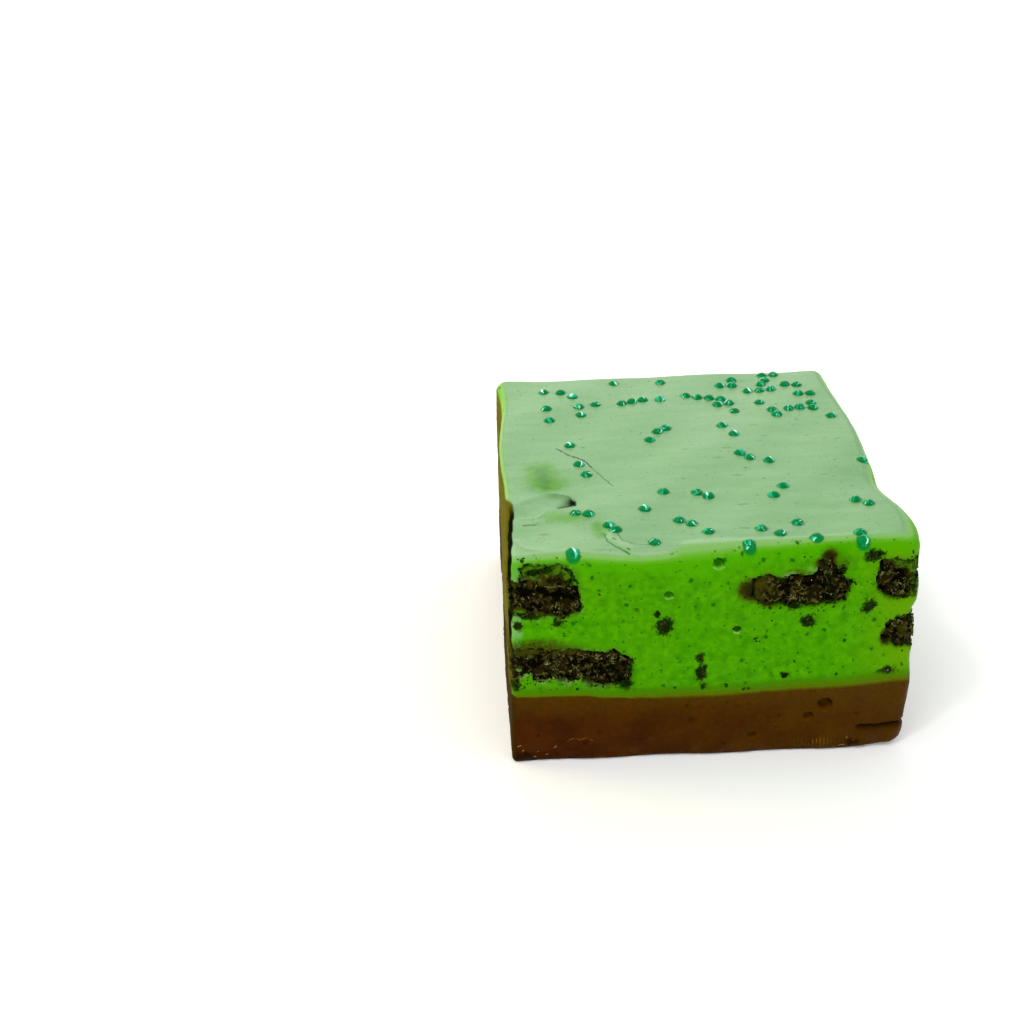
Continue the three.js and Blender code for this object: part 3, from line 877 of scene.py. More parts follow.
def chocolate_fudge(material):
    bm = grid_block(CHOCOLATE_STEPS, 1)
    piece = new_piece("chocolate_fudge", bm, material)
    mesh = piece.data
    even, way = rounded(layer_grid(coordinates(mesh), 0.0, BASE))
    points = sway(even)
    x, y, z = even.T
    side = 1 - smooth((-way[:, 2] - 0.5) / 0.4)
    split, gap, fringe = split_relief(even)
    torn = rough(points, 1.6, 3, 12.0)
    relief = knife_relief(points)
    relief += hole_relief(points, CHOCOLATE_HOLES + scattered_holes(**CHOCOLATE_BUBBLES))
    relief += 0.035 * rough(points, 0.9, 3, 6.0) - 0.3 * bump(z, 0.4, 1.0) * np.clip(torn, 0, None)
    points = points + way * (side * (relief + split))[:, None]
    points[:, 2] = np.maximum(points[:, 2] + seam_waver(even), 0)
    place_points(mesh, points * MM)
    reach = 0.2 + 0.75 * smooth((x + 12) / 8)
    corner = bump(x, -HALF_WIDTH, 4.5) * bump(z, 0.4, 1.8)
    corner = np.maximum(corner, 0.6 * bump(z, 0.1, 0.7))
    corner = np.maximum(corner, 0.8 * bump(x, 18.6, 1.6) * bump(z, 1.0, 0.8))
    keep_fields(
        mesh,
        seam=smooth((z - BASE + 4.5) / 4.5),
        green=smooth(1 - (BASE - z) / reach),
        dark=gap,
        corner=corner * smooth((-y - HALF_DEPTH + 1.5) / 1),
        fringe=fringe,
        left=smooth((-x - HALF_WIDTH + 0.8) / 0.6),
    )
    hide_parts("chocolate_layer")
    return piece


# Crumbs

PEPPER_TRIES = 30000
PEPPER_REACH = 0.6
SPARSE = 0.007
CRUMB_FLATNESS = 0.4


class Crumbs:
    """Rough crumbs pressed into the knife faces. Each has a film: 0 is bare cookie, 1 is green."""

    def __init__(self, seed):
        self.bm = bmesh.new()
        self.draw = draws(seed)
        self.films = []

    def add(self, side, point, size, film):
        way = Vector(FACE_WAYS[side])
        draw = self.draw
        centre = (Vector(point) - way * 0.25 * size) * MM
        turn = way.to_track_quat("Z", "Y").to_matrix().to_4x4()
        spin = Matrix.Rotation(next(draw) * math.tau, 4, "Z")
        stretch = Matrix.Diagonal((0.75 + 0.7 * next(draw), 0.75 + 0.4 * next(draw), CRUMB_FLATNESS, 1))
        made = bmesh.ops.create_icosphere(
            self.bm, subdivisions=2 if size > 0.2 else 1, radius=size * MM,
            matrix=Matrix.Translation(centre) @ turn @ spin @ stretch)
        for vert in made["verts"]:
            vert.co = centre + (vert.co - centre) * (0.7 + 0.6 * next(draw))
            self.films.append(film)

    def pepper(self, trees):
        """Fine crumbs, thick beside the cookies and sparse elsewhere."""
        chance = np.random.default_rng(PEPPER_SEED)
        side = chance.integers(0, 4, PEPPER_TRIES)
        half = np.where(side % 2 == 0, HALF_WIDTH, HALF_DEPTH) - 0.4
        along = chance.uniform(-1, 1, PEPPER_TRIES) * half
        z = chance.uniform(BASE + 0.3, HEIGHT - 2.2, PEPPER_TRIES)
        luck = chance.uniform(0, 1, PEPPER_TRIES)
        points = face_points(side, along, z)
        away = distance_to_cookies(points, trees)
        kept = luck < np.maximum(0.6 * np.exp(-np.maximum(away - 0.4, 0) / PEPPER_REACH), SPARSE)
        kept &= away > 0.35
        kept &= (side != 3) | (points[:, 1] > -18)
        for index in np.nonzero(kept)[0]:
            near = math.exp(-max(away[index] - 0.4, 0))
            size = 0.07 + 0.18 * next(self.draw) ** 2 * (0.4 + 0.6 * near)
            film = np.clip((away[index] - 0.55) / 0.8, 0, 1) * (0.3 + 0.7 * next(self.draw))
            self.add(side[index], points[index], size, film)

    def cluster(self, x, z, half_width, half_height):
        for _ in range(int(10 + 34 * half_width * half_height)):
            angle, reach = next(self.draw) * math.tau, next(self.draw) ** 0.5
            size = (0.08 + 0.36 * (1 - reach)) * (0.7 + 0.6 * next(self.draw))
            self.add_front(x + half_width * reach * math.cos(angle),
                           z + half_height * reach * math.sin(angle), size,
                           (0.2 + 0.5 * reach) * next(self.draw))

    def add_front(self, x, z, size, film):
        point = face_points(np.array([0]), np.array([x]), np.array([z]))[0]
        self.add(0, point, size, film)


FACE_WAYS = np.array([(0, -1, 0), (1, 0, 0), (0, 1, 0), (-1, 0, 0)], float)


def face_points(side, along, z):
    """Points on the knife faces. Sides are front, right, back and left."""
    way = FACE_WAYS[side]
    across = (side % 2 == 0)[:, None]
    spread = np.column_stack([along * across[:, 0], along * ~across[:, 0], z])
    return block_points(way * [HALF_WIDTH, HALF_DEPTH, 0] + spread)


def cookie_crumbs(trees, material):
    crumbs = Crumbs(CRUMB_SEED)
    crumbs.pepper(trees)
    for cluster in CRUMB_CLUSTERS:
        crumbs.cluster(*cluster)
    for x, z, radius in FLECKS:
        crumbs.add_front(x, z, radius, 0.8)
    piece = new_piece("cookie_crumbs", crumbs.bm, material)
    keep_fields(piece.data, film=crumbs.films, soaked=np.ones(len(crumbs.films)))
    return piece


# Materials

def paint(red, green, blue):
    """A colour from its 0 to 255 screen values."""
    def linear(value):
        value /= 255
        return value / 12.92 if value <= 0.04045 else ((value + 0.055) / 1.055) ** 2.4
    return (linear(red), linear(green), linear(blue), 1.0)


class Finish:
    """One material and the few kinds of node that its colour and relief are made of."""

    def __init__(self, name, **sockets):
        self.material = bpy.data.materials.new(name)
        self.material.use_nodes = True
        self.tree = self.material.node_tree
        self.shader = self.tree.nodes["Principled BSDF"]
        for socket, value in sockets.items():
            self.shader.inputs[socket.replace("_", " ")].default_value = value
        self.place = self.node("ShaderNodeTexCoord").outputs["Object"]
        self.tone = paint(0, 0, 0)

    def node(self, kind, fed=None, **settings):
        """A new node with its settings, and with each named input fed."""
        made = self.tree.nodes.new(kind)
        for setting, value in settings.items():
            setattr(made, setting, value)
        for socket, value in (fed or {}).items():
            self.feed(made.inputs[socket], value)
        return made

    def feed(self, socket, value):
        """Feeds a socket from another, from the attribute of a name, or with a plain value."""
        if isinstance(value, str):
            value = self.attribute(value)
        if isinstance(value, bpy.types.NodeSocket):
            self.tree.links.new(value, socket)
        else:
            socket.default_value = value

    def attribute(self, name, output="Fac"):
        return self.node("ShaderNodeAttribute", attribute_name=name).outputs[output]

    def stretched(self, scale):
        mapping = self.node("ShaderNodeMapping", {"Vector": self.place, "Scale": scale})
        return mapping.outputs["Vector"]

    def ruffled(self, size, reach):
        """The place, pushed about so that round marks get torn outlines."""
        made = self.node("ShaderNodeTexNoise", {"Vector": self.place, "Scale": 1 / (size * MM)})
        push = self.vector("SUBTRACT", made.outputs["Color"], (0.5, 0.5, 0.5))
        push = self.vector("MULTIPLY", push, (2 * reach * MM,) * 3)
        return self.vector("ADD", self.place, push)

    def noise(self, size, detail=3.0, roughness=0.5, place=None):
        """Noise from 0 to 1 whose lumps are about size millimetres."""
        return self.node("ShaderNodeTexNoise", {
            "Vector": place or self.place, "Scale": 1 / (size * MM), "Detail": detail,
            "Roughness": roughness}).outputs["Fac"]

    def cells(self, size, place=None):
        """Distance to the nearest of many scattered points, and a number that each point has."""
        made = self.node("ShaderNodeTexVoronoi", {
            "Vector": place or self.place, "Scale": 1 / (size * MM)})
        split = self.node("ShaderNodeSeparateColor", {"Color": made.outputs["Color"]})
        return made.outputs["Distance"], split.outputs["Red"]

    def math(self, operation, a, b=0.0, clamp=False):
        return self.node("ShaderNodeMath", {0: a, 1: b}, operation=operation,
                         use_clamp=clamp).outputs[0]

    def times(self, a, b):
        return self.math("MULTIPLY", a, b)

    def ranged(self, value, low, high, to_low=0.0, to_high=1.0):
        """Eases a value's range from low to high into the range from to_low to to_high."""
        return self.node("ShaderNodeMapRange", {
            "Value": value, "From Min": low, "From Max": high, "To Min": to_low,
            "To Max": to_high}, interpolation_type="SMOOTHSTEP").outputs["Result"]

    def mix(self, share, a, b):
        """Colour a with a share of colour b."""
        return self.node("ShaderNodeMix", {0: share, 6: a, 7: b}, data_type="RGBA",
                         clamp_factor=True).outputs[2]

    def coat(self, share, *tone):
        """Lays a paint, or another colour, over the colour so far."""
        self.tone = self.mix(share, self.tone, paint(*tone) if len(tone) == 3 else tone[0])

    def along(self, axis):
        """The place along one axis, in millimetres."""
        split = self.node("ShaderNodeSeparateXYZ", {0: self.place})
        return self.math("DIVIDE", split.outputs[axis], MM)

    def sum(self, a, b, weight):
        """a and a share of b."""
        return self.math("ADD", a, self.times(b, weight))

    def band(self, value, middle, half):
        """1 where the value is near the middle, and 0 away from it."""
        off = self.math("ABSOLUTE", self.math("SUBTRACT", value, middle))
        return self.ranged(off, half, 0.3 * half)

    def vector(self, operation, a, b=(0, 0, 0), output="Vector"):
        made = self.node("ShaderNodeVectorMath", {0: a, 1: b}, operation=operation)
        return made.outputs[output]

    def path(self, points, plane):
        """Distance in millimetres to a path over the top or the front, with a slight waver."""
        shift = self.times(self.math("SUBTRACT", self.noise(1.0, 3, 0.6), 0.5), 0.5)
        flat = self.stretched([part / MM for part in plane])
        flat = self.vector("ADD", flat, (CENTRING, 0, 0))
        moved = self.node("ShaderNodeCombineXYZ", {0: shift, 1 if plane == TOP else 2: shift})
        flat = self.vector("ADD", flat, moved.outputs[0])
        places = [Vector((x, up * plane[1], up * plane[2])) for x, up in points]
        nearest = FAR
        for start, end in zip(places[:-1], places[1:]):
            span = end - start
            gap = self.vector("SUBTRACT", flat, start)
            share = self.vector("DOT_PRODUCT", gap, span / span.length_squared, "Value")
            held = self.math("ADD", share, 0.0, clamp=True)
            scaled = self.node("ShaderNodeVectorMath", {0: span, "Scale": held}, operation="SCALE")
            away = self.vector("DISTANCE", gap, scaled.outputs[0], "Value")
            nearest = self.math("MINIMUM", away, nearest)
        return nearest

    def hole(self, x, z, radius):
        """The painted shade in the upper part of an air hole in the front, and the painted highlight on
        the lip under it.
        """
        centre = face_points(np.array([0]), np.array([x]), np.array([z]))[0] * MM
        gap = self.vector("SUBTRACT", self.place, centre)
        gap = self.vector("MULTIPLY", gap, (1, 0.3, 1))
        away = self.math("DIVIDE", self.vector("LENGTH", gap, output="Value"), radius * MM)
        split = self.node("ShaderNodeSeparateXYZ", {0: gap})
        height = self.math("DIVIDE", split.outputs["Z"], radius * MM)
        lower = self.vector("ADD", gap, (0, 0, 0.5 * radius * MM))
        below = self.math("DIVIDE", self.vector("LENGTH", lower, output="Value"), radius * MM)
        inside = self.times(self.ranged(away, 1.1, 0.95), self.ranged(below, 0.8, 1.05))
        lip = self.times(self.band(away, 1.05, 0.3), self.ranged(height, -0.3, -0.8))
        return inside, lip

    def specks(self, size, radius, kept, place=None):
        """Round specks of about radius millimetres in one cell of so many."""
        distance, chance = self.cells(size, place)
        spot = self.ranged(distance, radius / size, 0.45 * radius / size)
        return self.times(spot, self.ranged(chance, 1 - kept, 1 - kept + 0.02))

    def done(self, roughness, *relief):
        """Feeds the shader. Each relief is a height from 0 to 1 and its depth in millimetres."""
        self.feed(self.shader.inputs["Base Color"], self.tone)
        self.feed(self.shader.inputs["Roughness"], roughness)
        normal = {}
        for height, depth in relief:
            bumps = {"Strength": 1.0, "Distance": depth * MM, "Height": height, **normal}
            normal = {"Normal": self.node("ShaderNodeBump", bumps).outputs["Normal"]}
        for socket, value in normal.items():
            self.feed(self.shader.inputs[socket], value)
        return self.material


# The planes that paths lie in, as the axes that count there
TOP, FRONT = (1, 1, 0), (1, 0, 1)

# Thin lines in the skin of the top: the path, half its width, its strength and its colour
TOP_LINES = [
    ([(-17, 2.8), (-15.5, 0.4), (-13.6, -1.5), (-12.8, -3.9)], 0.22, 0.95, (6, 44, 14)),
    ([(-12.8, -3.9), (-11.9, -6.1), (-10.4, -10)], 0.18, 0.7, (30, 100, 24)),
    (FLAP_EDGE, 0.2, 0.9, (30, 128, 14)),
    ([(-12.2, -22.9), (-11.2, -24.5), (-10.8, -26.2), (-9.3, -27), (-7.5, -27.3)], 0.13, 0.6,
     (44, 92, 36)),
    ([(-12, -25.6), (-11.7, -25.9)], 0.22, 0.8, (40, 96, 20)),
    ([(-10.4, -28.1), (-10.2, -28.3)], 0.2, 0.8, (40, 96, 20)),
    ([(-21.1, -18.5), (-19.8, -16.7)], 0.3, 0.7, (140, 176, 132)),
    ([(-22.9, -18.5), (-21.3, -18.4), (-21, -19.7)], 0.3, 0.7, (140, 176, 132)),
    ([(-24, -24.5), (-23.2, -26.5), (-21.6, -27.6)], 0.35, 0.6, (140, 176, 132)),
    ([(-22.7, -20.6), (-21.4, -20.6)], 0.4, 0.7, (76, 118, 54)),
]

# Thin scratches and torn threads in the chocolate's front, in x and z
SCRATCHES = [
    [(-18.1, 3.1), (-17.4, 3.5), (-16.5, 3.3)], [(-16.3, 3.4), (-15.6, 3.6), (-14.8, 3.1)],
    [(-3.7, 9.5), (-3.1, 9.6)], [(-1.9, 9.5), (-1.3, 9.6)],
]
GLINTS = [
    [(-24.6, 2.5), (-24.1, 2.7)], [(-23.9, 1.9), (-23.7, 2.0)], [(-22.6, 0.7), (-22.2, 0.9)],
    [(-19.8, 2.1), (-19.5, 2.4)], [(-20.9, 1.0), (-20.7, 1.1)], [(-21.9, 1.5), (-21.8, 1.6)],
    [(18.2, 2.0), (18.3, 1.7)], [(17.3, 0.7), (17.9, 0.8)], [(19.0, 1.0), (19.1, 1.3)],
    [(16.4, 0.5), (16.8, 0.5)], [(15.7, 6.3), (15.9, 6.2)],
]

# Torn strokes on and beside the cookies at the left, in x and z, with half the width and the colour
STROKES = [
    ([(-22.6, 27.8), (-21.4, 27.9)], 0.6, (4, 12, 2)),
    ([(-21.2, 28.1), (-20.2, 28.4)], 0.35, (6, 20, 2)),
    ([(-23.6, 26.9), (-22.4, 27.0), (-21.2, 26.7)], 0.2, (70, 96, 40)),
    ([(-20.4, 26.4), (-19.0, 26.5), (-17.2, 25.9)], 0.28, (26, 24, 2)),
    ([(-20.6, 25.6), (-19.0, 25.7), (-17.6, 25.2)], 0.16, (84, 94, 46)),
    ([(-24.4, 25.5), (-22.6, 25.2), (-21.0, 25.0)], 0.5, (2, 2, 0)),
    ([(-20.6, 24.6), (-18.6, 24.5), (-17.0, 23.8)], 0.45, (2, 2, 0)),
    ([(-22.2, 24.0), (-20.2, 23.6)], 0.25, (58, 44, 22)),
    ([(-18.0, 28.3), (-17.5, 27.6), (-16.7, 26.2)], 0.24, (8, 62, 4)),
]

# How torn the strokes are: the share of their half width that is solid, then the grain that
# breaks them up, in millimetres, and the range of it that does
TORN = dict(edge=0.4, grain=0.45, low=0.34, high=0.46)
SCRATCHED = dict(edge=0.3, grain=0.5, low=0.38, high=0.52)


def lay_strokes(finish, strokes, edge, grain, low, high):
    """Strokes of paint at the front, with torn edges."""
    for line, half, tone in strokes:
        mark = finish.ranged(finish.path(line, FRONT), half, edge * half)
        mark = finish.times(mark, finish.ranged(finish.along("Y"), -24, -26))
        mark = finish.times(mark, finish.ranged(finish.noise(grain, 3), low, high))
        finish.coat(mark, *tone)


def shade_holes(finish, holes, shade, dark, shine, light):
    """The shaded insides and the lit lips of the air holes in the front."""
    for x, y, z, radius in holes:
        if y == -HALF_DEPTH:
            inside, lip = finish.hole(x, z, radius)
            finish.coat(finish.times(inside, shade), *dark)
            finish.coat(finish.times(lip, shine), *light)


def gold_light_and_shade(finish, dark, light):
    """The painted gold light and shade on the left side, drawn out from front to back."""
    drawn = finish.noise(1.5, 4, 0.6, finish.stretched((1, 0.3, 1)))
    return finish.mix(drawn, paint(*dark), paint(*light))


def mint_skin_and_sheen(finish, fade):
    """The colour of the skin of the top, pale partly for a painted sheen, and of the rim where it fades
    into the cut front.
    """
    streaky = finish.noise(2.2, 4, 0.6, finish.stretched((0.25, 1.0, 1.0)))
    streaky = finish.ranged(streaky, 0.3, 0.75)
    finish.tone = finish.mix(streaky, paint(117, 164, 110), paint(126, 171, 121))
    # Painted sheen: a paler patch of the skin towards the front left
    bloom = finish.times("bloom", finish.noise(2.5, 3))
    finish.coat(finish.times(bloom, 1.2), 142, 180, 134)
    # Painted light: the skin is lighter where it bends towards the front, and so is the rim's ramp
    # below it
    finish.coat(finish.ranged("bend", 0.06, 0.37), 142, 179, 133)
    # Painted highlight along the lip of the rim
    finish.coat(finish.times("lip", 0.6), 154, 194, 146)
    finish.coat(finish.ranged(fade, 0.0, 0.33), 128, 181, 96)
    finish.coat(finish.ranged(fade, 0.4, 0.72), 97, 171, 36)
    return finish.tone


def mint_cut(finish, fade, glaze):
    """The colour of the cut faces."""
    finish.tone = finish.mix(finish.noise(6.0, 2), paint(52, 141, 0), paint(74, 147, 0))
    finish.coat(finish.ranged(finish.noise(0.9, 4, 0.6), 0.35, 0.8), 85, 167, 1)
    finish.coat(finish.ranged(finish.noise(1.6, 3), 0.5, 0.75, 0, 0.8), 45, 126, 1)
    finish.coat(finish.ranged(finish.along("X"), 15, 25, 0, 0.8), 98, 153, 0)
    # The pale film beside the left edge, with the painted sheen of that edge
    finish.coat(glaze, 112, 168, 86)

    # Light that sinks into the rim comes out below it, so the green there is lighter
    finish.coat(finish.ranged(fade, 2.4, 1.0, 0, 0.7), 74, 166, 2)
    return finish.tone


def mint_specks(finish, skin):
    """Level dashes in the skin, and torn specks in the cut faces."""
    dashes = finish.stretched((0.3, 1.0, 1.0))
    dash = finish.times(finish.specks(1.9, 0.32, 0.4, dashes), skin)
    finish.coat(finish.times(dash, 0.45), 84, 104, 34)
    under = finish.ranged(skin, 0, 1, 1, 0)
    torn_place = finish.ruffled(0.35, 0.3)
    for size, radius, kept, strength in ((2.1, 0.42, 0.75, 0.85), (1.1, 0.22, 0.7, 0.75)):
        spot = finish.times(finish.specks(size, radius, kept, torn_place), under)
        finish.coat(finish.times(spot, strength), 6, 84, 6)


def mint_stains(finish, glaze):
    """What the cookies leave in the cut green: oil, smudges, torn edges, films and crumb dust."""
    haze = finish.ranged(finish.sum("haze", finish.noise(0.9, 3), 0.5), 0.25, 1.3)
    haze = finish.times(haze, finish.ranged(glaze, 0, 1, 1, 0.2))
    finish.coat(haze, 56, 72, 4)
    torn = finish.ranged(finish.along("X"), -10, -16)
    torn = finish.times(finish.ranged("stain", 0.25, 0.6), torn)
    torn = finish.times(torn, finish.ranged(finish.noise(0.5, 4, 0.7), 0.5, 0.62, 0, 0.6))
    finish.coat(torn, 112, 166, 62)
    smudge = finish.sum("smudge", finish.noise(0.5, 4, 0.7), 0.9)
    finish.coat(finish.ranged(smudge, 0.6, 1.15), 62, 70, 6)
    finish.coat(finish.ranged(smudge, 0.95, 1.4), 32, 26, 5)
    ragged = finish.sum("stain", finish.noise(0.35, 4, 0.7), 1.3)
    ragged = finish.sum(ragged, "teeth", -0.4)
    ragged = finish.sum(ragged, "smudge", -0.35)
    fringe = finish.ranged(finish.noise(0.7, 3), 0.4, 0.6)
    fringe = finish.mix(fringe, paint(16, 18, 3), paint(20, 50, 5))
    finish.coat(finish.ranged(ragged, 1.28, 1.5), fringe)
    lip = finish.times(finish.ranged("stain", 0.62, 0.74), "teeth")
    finish.coat(finish.times(lip, finish.noise(0.8, 3)), 150, 206, 88)
    film = finish.sum("film", finish.noise(0.6, 4, 0.75), 1.8)
    finish.coat(finish.ranged(film, 1.3, 1.9, 0, 0.7), 108, 152, 68)
    blot = finish.sum("cluster", finish.noise(0.6, 4, 0.75), 2.0)
    finish.coat(finish.ranged(blot, 1.2, 1.5), 30, 62, 4)
    finish.coat(finish.ranged(blot, 1.5, 1.7), 12, 18, 2)


def mint_finish():
    finish = Finish("mint_fudge", IOR=1.45, Subsurface_Weight=0.2, Subsurface_Scale=0.0008,
                    Subsurface_Radius=(0.6, 1.0, 0.3), Specular_IOR_Level=0.1,
                    Specular_Tint=(0.35, 1.0, 0.0, 1.0))
    skin = finish.attribute("skin")
    fade = finish.times(finish.math("SUBTRACT", "fade", 0.25), FADE_SPAN)
    glaze = finish.ranged(finish.noise(1.2, 4, 0.6), 0.25, 0.6, 0.45, 0.95)
    glaze = finish.times("glaze", glaze)
    top, cut = mint_skin_and_sheen(finish, fade), mint_cut(finish, fade, glaze)
    finish.tone = finish.mix(finish.ranged(fade, 0.62, 1.05), top, cut)
    # Painted shade: greener patches of the top
    finish.coat(finish.ranged("green", 0, 0.5, 0, 0.85), 86, 152, 44)
    finish.coat(finish.ranged("green", 0.4, 0.8, 0, 0.92), 16, 102, 2)
    mint_specks(finish, skin)
    mint_stains(finish, glaze)

    # Dye round the pearls, and their painted reflections below the ones at the front rim
    finish.coat(finish.ranged("bleed", 0.1, 0.9, 0, 0.95), 0, 124, 42)
    flap = finish.times(finish.ranged(finish.path(FLAP, TOP), 0.9, 0.5), skin)
    finish.coat(finish.times(flap, 0.45), 150, 184, 138)
    # Painted shade of the rolled lip, and the dark marks of the top
    finish.coat("dark", 10, 16, 6)
    for line, half, strength, tone in TOP_LINES:
        slit = finish.times(finish.ranged(finish.path(line, TOP), half, 0.3 * half), skin)
        finish.coat(finish.times(slit, strength), *tone)
    shade_holes(finish, MINT_HOLES, 0.9, (2, 80, 6), 0.8, (124, 194, 74))
    # Painted shade in the pits
    finish.coat(finish.times("pit", 0.6), 6, 84, 6)
    finish.coat(finish.ranged("seam", 0.02, 0.3, 0, 0.7), 58, 116, 1)
    soft_seam = finish.sum("seam", finish.noise(0.8, 3), 0.6)
    finish.coat(finish.ranged(soft_seam, 0.35, 1.4), 82, 112, 1)
    lay_strokes(finish, STROKES[-1:], **TORN)
    # Painted gold light and shade on the left side
    finish.coat("left", gold_light_and_shade(finish, (60, 56, 0), (100, 94, 0)))
    finish.coat("streak", 1, 1, 0)
    matt = finish.math("MAXIMUM", finish.math("MAXIMUM", "left", "streak"), "dark")
    return finish.done(
        finish.math("ADD", finish.ranged(skin, 0, 1, 0.5, 0.27), matt, clamp=True),
        (finish.noise(0.5, 4, 0.6), 0.025), (finish.noise(3.0, 2), 0.05))


def chocolate_finish():
    finish = Finish("chocolate_fudge", IOR=1.45, Specular_IOR_Level=0.12,
                    Specular_Tint=(1.0, 0.5, 0.0, 1.0))
    patches = finish.ranged(finish.noise(4.0, 3), 0.35, 0.65)
    red = finish.mix(patches, paint(50, 11, 0), paint(68, 26, 0))
    olive = finish.mix(patches, paint(68, 38, 1), paint(74, 46, 1))
    # Painted light: redder at the left and more olive towards the right
    finish.tone = finish.mix(finish.ranged(finish.along("X"), -24, 24), red, olive)
    finish.coat(finish.times("seam", 0.85), 76, 50, 1)
    grain = finish.ranged(finish.noise(0.45, 4, 0.65), 0.3, 0.7)
    finish.coat(finish.times(grain, 0.35), 46, 20, 1)
    pale = finish.times(finish.specks(2.1, 0.15, 0.22), 0.6)
    finish.coat(pale, 134, 82, 12)
    turn = finish.times(finish.along("X"), 2 * math.pi / FRINGE["pitch"])
    strokes = finish.ranged(finish.math("SINE", turn), 0.2, 0.8)
    strokes = finish.times(strokes, finish.ranged(finish.noise(0.8, 3), 0.42, 0.55))
    fringe = finish.times("fringe", strokes)
    finish.coat(finish.times(fringe, 0.75), 124, 84, 22)
    soft_seam = finish.sum("green", finish.noise(0.8, 3), 0.3)
    finish.coat(finish.ranged(soft_seam, 0.1, 1.2), 82, 112, 1)
    flakes = finish.sum("corner", finish.noise(0.4, 4, 0.7), 1.2)
    finish.coat(finish.ranged(flakes, 1.1, 1.3, 0, 0.85), 16, 7, 1)
    marks = [(line, 0.09, (120, 70, 6)) for line in SCRATCHES]
    marks += [(line, 0.1, (150, 106, 64)) for line in GLINTS]
    lay_strokes(finish, marks, **SCRATCHED)
    # Painted shade in the split and under it
    finish.coat("dark", 26, 10, 1)
    shade_holes(finish, CHOCOLATE_HOLES, 0.95, (12, 3, 0), 0.25, (104, 58, 2))
    # Painted shade on the left side
    finish.coat(finish.times("left", 0.9), 46, 34, 1)
    sheen = finish.ranged(finish.noise(1.2, 3), 0.3, 0.7, 0.42, 0.62)
    return finish.done(
        finish.math("ADD", sheen, "left", clamp=True),
        (finish.noise(0.35, 4, 0.7), 0.1), (finish.noise(1.6, 3), 0.15))


def cookie_finish():
    finish = Finish("cookie", IOR=1.45, Specular_IOR_Level=0.03,
                    Specular_Tint=(1.0, 0.85, 0.2, 1.0))
    patches = finish.ranged(finish.noise(1.6, 4, 0.6), 0.45, 0.6)
    finish.tone = finish.mix(patches, paint(3, 2, 1), paint(44, 36, 9))
    crumb = finish.sum(finish.noise(0.7, 4, 0.65), finish.cells(0.4)[1], 0.16)
    finish.coat(finish.ranged(crumb, 0.6, 0.76, 0, 0.8), 104, 102, 48)
    # Painted shade in the hollows
    finish.coat(finish.times("hollow", 0.7), 4, 3, 1)
    thread = finish.band(finish.noise(1.0, 2, 0.6), 0.5, 0.014)
    thread = finish.times(thread, finish.ranged(finish.noise(1.8, 2), 0.5, 0.58))
    finish.coat(finish.times(thread, 0.9), 150, 148, 84)
    glint = finish.specks(1.5, 0.2, 0.3, finish.ruffled(0.3, 0.3))
    finish.coat(glint, 196, 196, 146)
    film = finish.sum("smear", finish.noise(0.7, 4, 0.65), 0.5)
    finish.coat(finish.ranged(film, 0.35, 0.8), 60, 60, 8)
    green = finish.noise(0.8, 4, 0.7, finish.stretched((0.5, 1, 1.3)))
    green = finish.mix(finish.ranged(green, 0.4, 0.6), paint(44, 74, 6), paint(74, 124, 14))
    finish.coat(finish.ranged(film, 0.85, 1.2), green)
    lay_strokes(finish, STROKES, **TORN)
    finish.coat(finish.times("soaked", 0.65), 8, 16, 3)
    gold_share = finish.ranged(finish.noise(1.2, 4, 0.6), 0.35, 0.65, 0.2, 0.75)
    gold = gold_light_and_shade(finish, (52, 48, 0), (88, 82, 0))
    # Painted gold light and shade on the left side
    finish.coat(finish.times("left", gold_share), gold)
    finish.coat(finish.times("streak", 0.9), 1, 1, 0)
    finish.coat("film", 22, 78, 7)
    return finish.done(finish.ranged(finish.noise(0.6, 2), 0.3, 0.7, 0.45, 0.8),
                       (finish.noise(0.35, 5, 0.75), 0.2))


def pearl_finish():
    finish = Finish("sugar_pearl", IOR=1.5, Specular_IOR_Level=0.3,
                    Specular_Tint=(0.1, 1.0, 0.7, 1.0), Subsurface_Weight=0.15,
                    Subsurface_Scale=0.0004, Subsurface_Radius=(0.4, 1.0, 0.8))
    finish.tone = finish.mix(finish.noise(0.8, 3), paint(8, 160, 106), paint(36, 196, 146))
    # Painted shade: darker towards the foot of each pearl
    finish.coat(finish.ranged("crown", 0.84, 0.68), 0, 122, 56)
    from_worn = finish.attribute("from_worn", "Vector")
    away = finish.vector("LENGTH", from_worn, output="Value")
    away = finish.sum(away, finish.math("SUBTRACT", finish.noise(0.35, 3, 0.6), 0.5), 0.9)
    # Painted highlights round the spot on each pearl
    finish.coat(finish.ranged(away, 0.6, 0.35), 110, 214, 180)
    finish.coat(finish.ranged(away, 0.32, 0.2), 240, 255, 250)
    return finish.done(0.25, (finish.noise(0.5, 2), 0.02))


def floor_finish():
    finish = Finish("floor", Specular_IOR_Level=0.1, Emission_Color=(1, 1, 1, 1),
                    Emission_Strength=0.14)
    finish.tone = finish.mix(finish.noise(60.0, 2), paint(248, 248, 247), paint(251, 251, 250))
    return finish.done(0.8)


# Stage

FLOOR_CELLS, FLOOR_REACH = 8, 1.2
SKY_STRENGTH = 0.85

# Round lights: places and sizes in metres, and power in watts
LIGHT_AIM = (0, 0, 0.015)
LIGHTS = [
    dict(name="key", place=(-0.2, -0.3, 0.55), size=0.2, power=0.6),
    dict(name="back", place=(0.05, 0.75, 0.4), size=0.5, power=1.1),
    dict(name="left", place=(-0.5, 0.16, 0.1), size=0.25, power=1.6, colour=(1.0, 0.75, 0.04),
         mirrored=False),
    dict(name="sparkle", place=(-0.22, -0.25, 0.5), size=0.05, power=0.3),
]


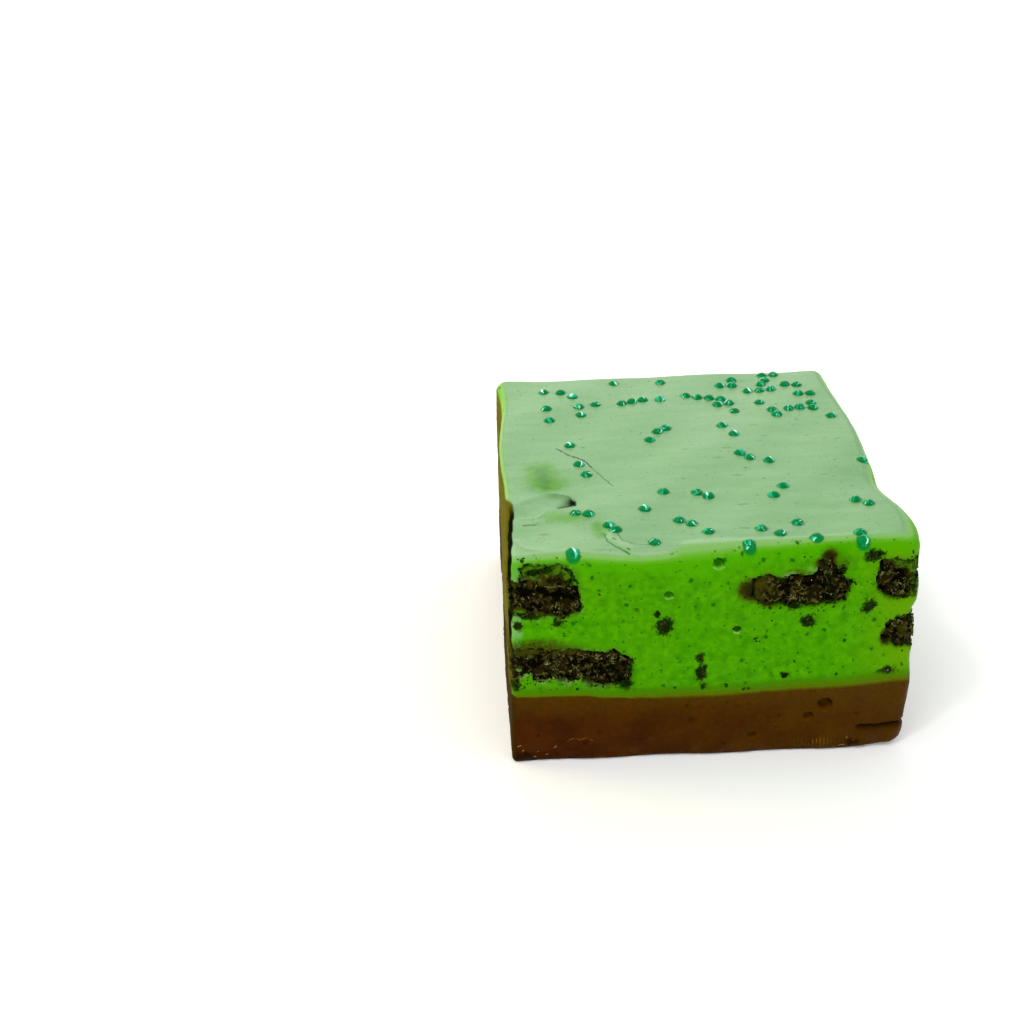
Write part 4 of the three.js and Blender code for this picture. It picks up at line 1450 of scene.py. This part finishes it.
def pale_floor():
    bm = bmesh.new()
    bmesh.ops.create_grid(bm, x_segments=FLOOR_CELLS, y_segments=FLOOR_CELLS, size=FLOOR_REACH)
    mesh = bpy.data.meshes.new("floor")
    bm.to_mesh(mesh)
    bm.free()
    floor = bpy.data.objects.new("floor", mesh)
    bpy.context.scene.collection.objects.link(floor)
    mesh.materials.append(floor_finish())


def soft_light(name, place, size, power, colour=(1, 1, 1), mirrored=True):
    light = bpy.data.lights.new(name, "AREA")
    light.shape = "DISK"
    light.size = size
    light.energy = power
    light.color = colour
    lamp = bpy.data.objects.new(name, light)
    lamp.location = place
    lamp.visible_glossy = mirrored
    lamp.rotation_euler = (Vector(LIGHT_AIM) - Vector(place)).to_track_quat("-Z", "Y").to_euler()
    bpy.context.scene.collection.objects.link(lamp)


def studio():
    world = bpy.data.worlds.new("studio")
    world.use_nodes = True
    back = world.node_tree.nodes["Background"]
    back.inputs["Color"].default_value = (1, 1, 1, 1)
    back.inputs["Strength"].default_value = SKY_STRENGTH
    bpy.context.scene.world = world
    for light in LIGHTS:
        soft_light(**light)


# Camera, fitted to the outline of the block in the photograph
CAMERA_PLACE = (-31.5, -209.6, 125.7)
CAMERA_PITCH, CAMERA_ROLL, CAMERA_YAW = 26.3, -1.5, -2.0
FRAME_PIXELS, FOCAL_PIXELS, SENSOR = 1024, 1680, 36.0


def camera():
    data = bpy.data.cameras.new("camera")
    data.sensor_width = SENSOR
    data.sensor_fit = "HORIZONTAL"
    data.lens = SENSOR * FOCAL_PIXELS / FRAME_PIXELS
    data.clip_start = 0.01
    view = bpy.data.objects.new("camera", data)
    turn = (
        Matrix.Rotation(math.radians(CAMERA_YAW), 4, "Z")
        @ Matrix.Rotation(math.radians(90 - CAMERA_PITCH), 4, "X")
        @ Matrix.Rotation(math.radians(CAMERA_ROLL), 4, "Z")
    )
    view.matrix_world = Matrix.Translation(Vector(CAMERA_PLACE) * MM) @ turn
    bpy.context.scene.collection.objects.link(view)
    bpy.context.scene.camera = view


camera()
pale_floor()
studio()
bpy.context.scene.view_settings.view_transform = "Standard"

mint, chocolate, cookie, pearl = mint_finish(), chocolate_finish(), cookie_finish(), pearl_finish()
cookies = cookie_trees()
centres, ways = pearl_centres()
mint_fudge(centres, cookies, mint)
chocolate_fudge(chocolate)
for node in COOKIE_NODES:
    crumbled_cookie(node, cookie)
cookie_crumbs(cookies, cookie)
sugar_pearls(centres, ways, pearl)
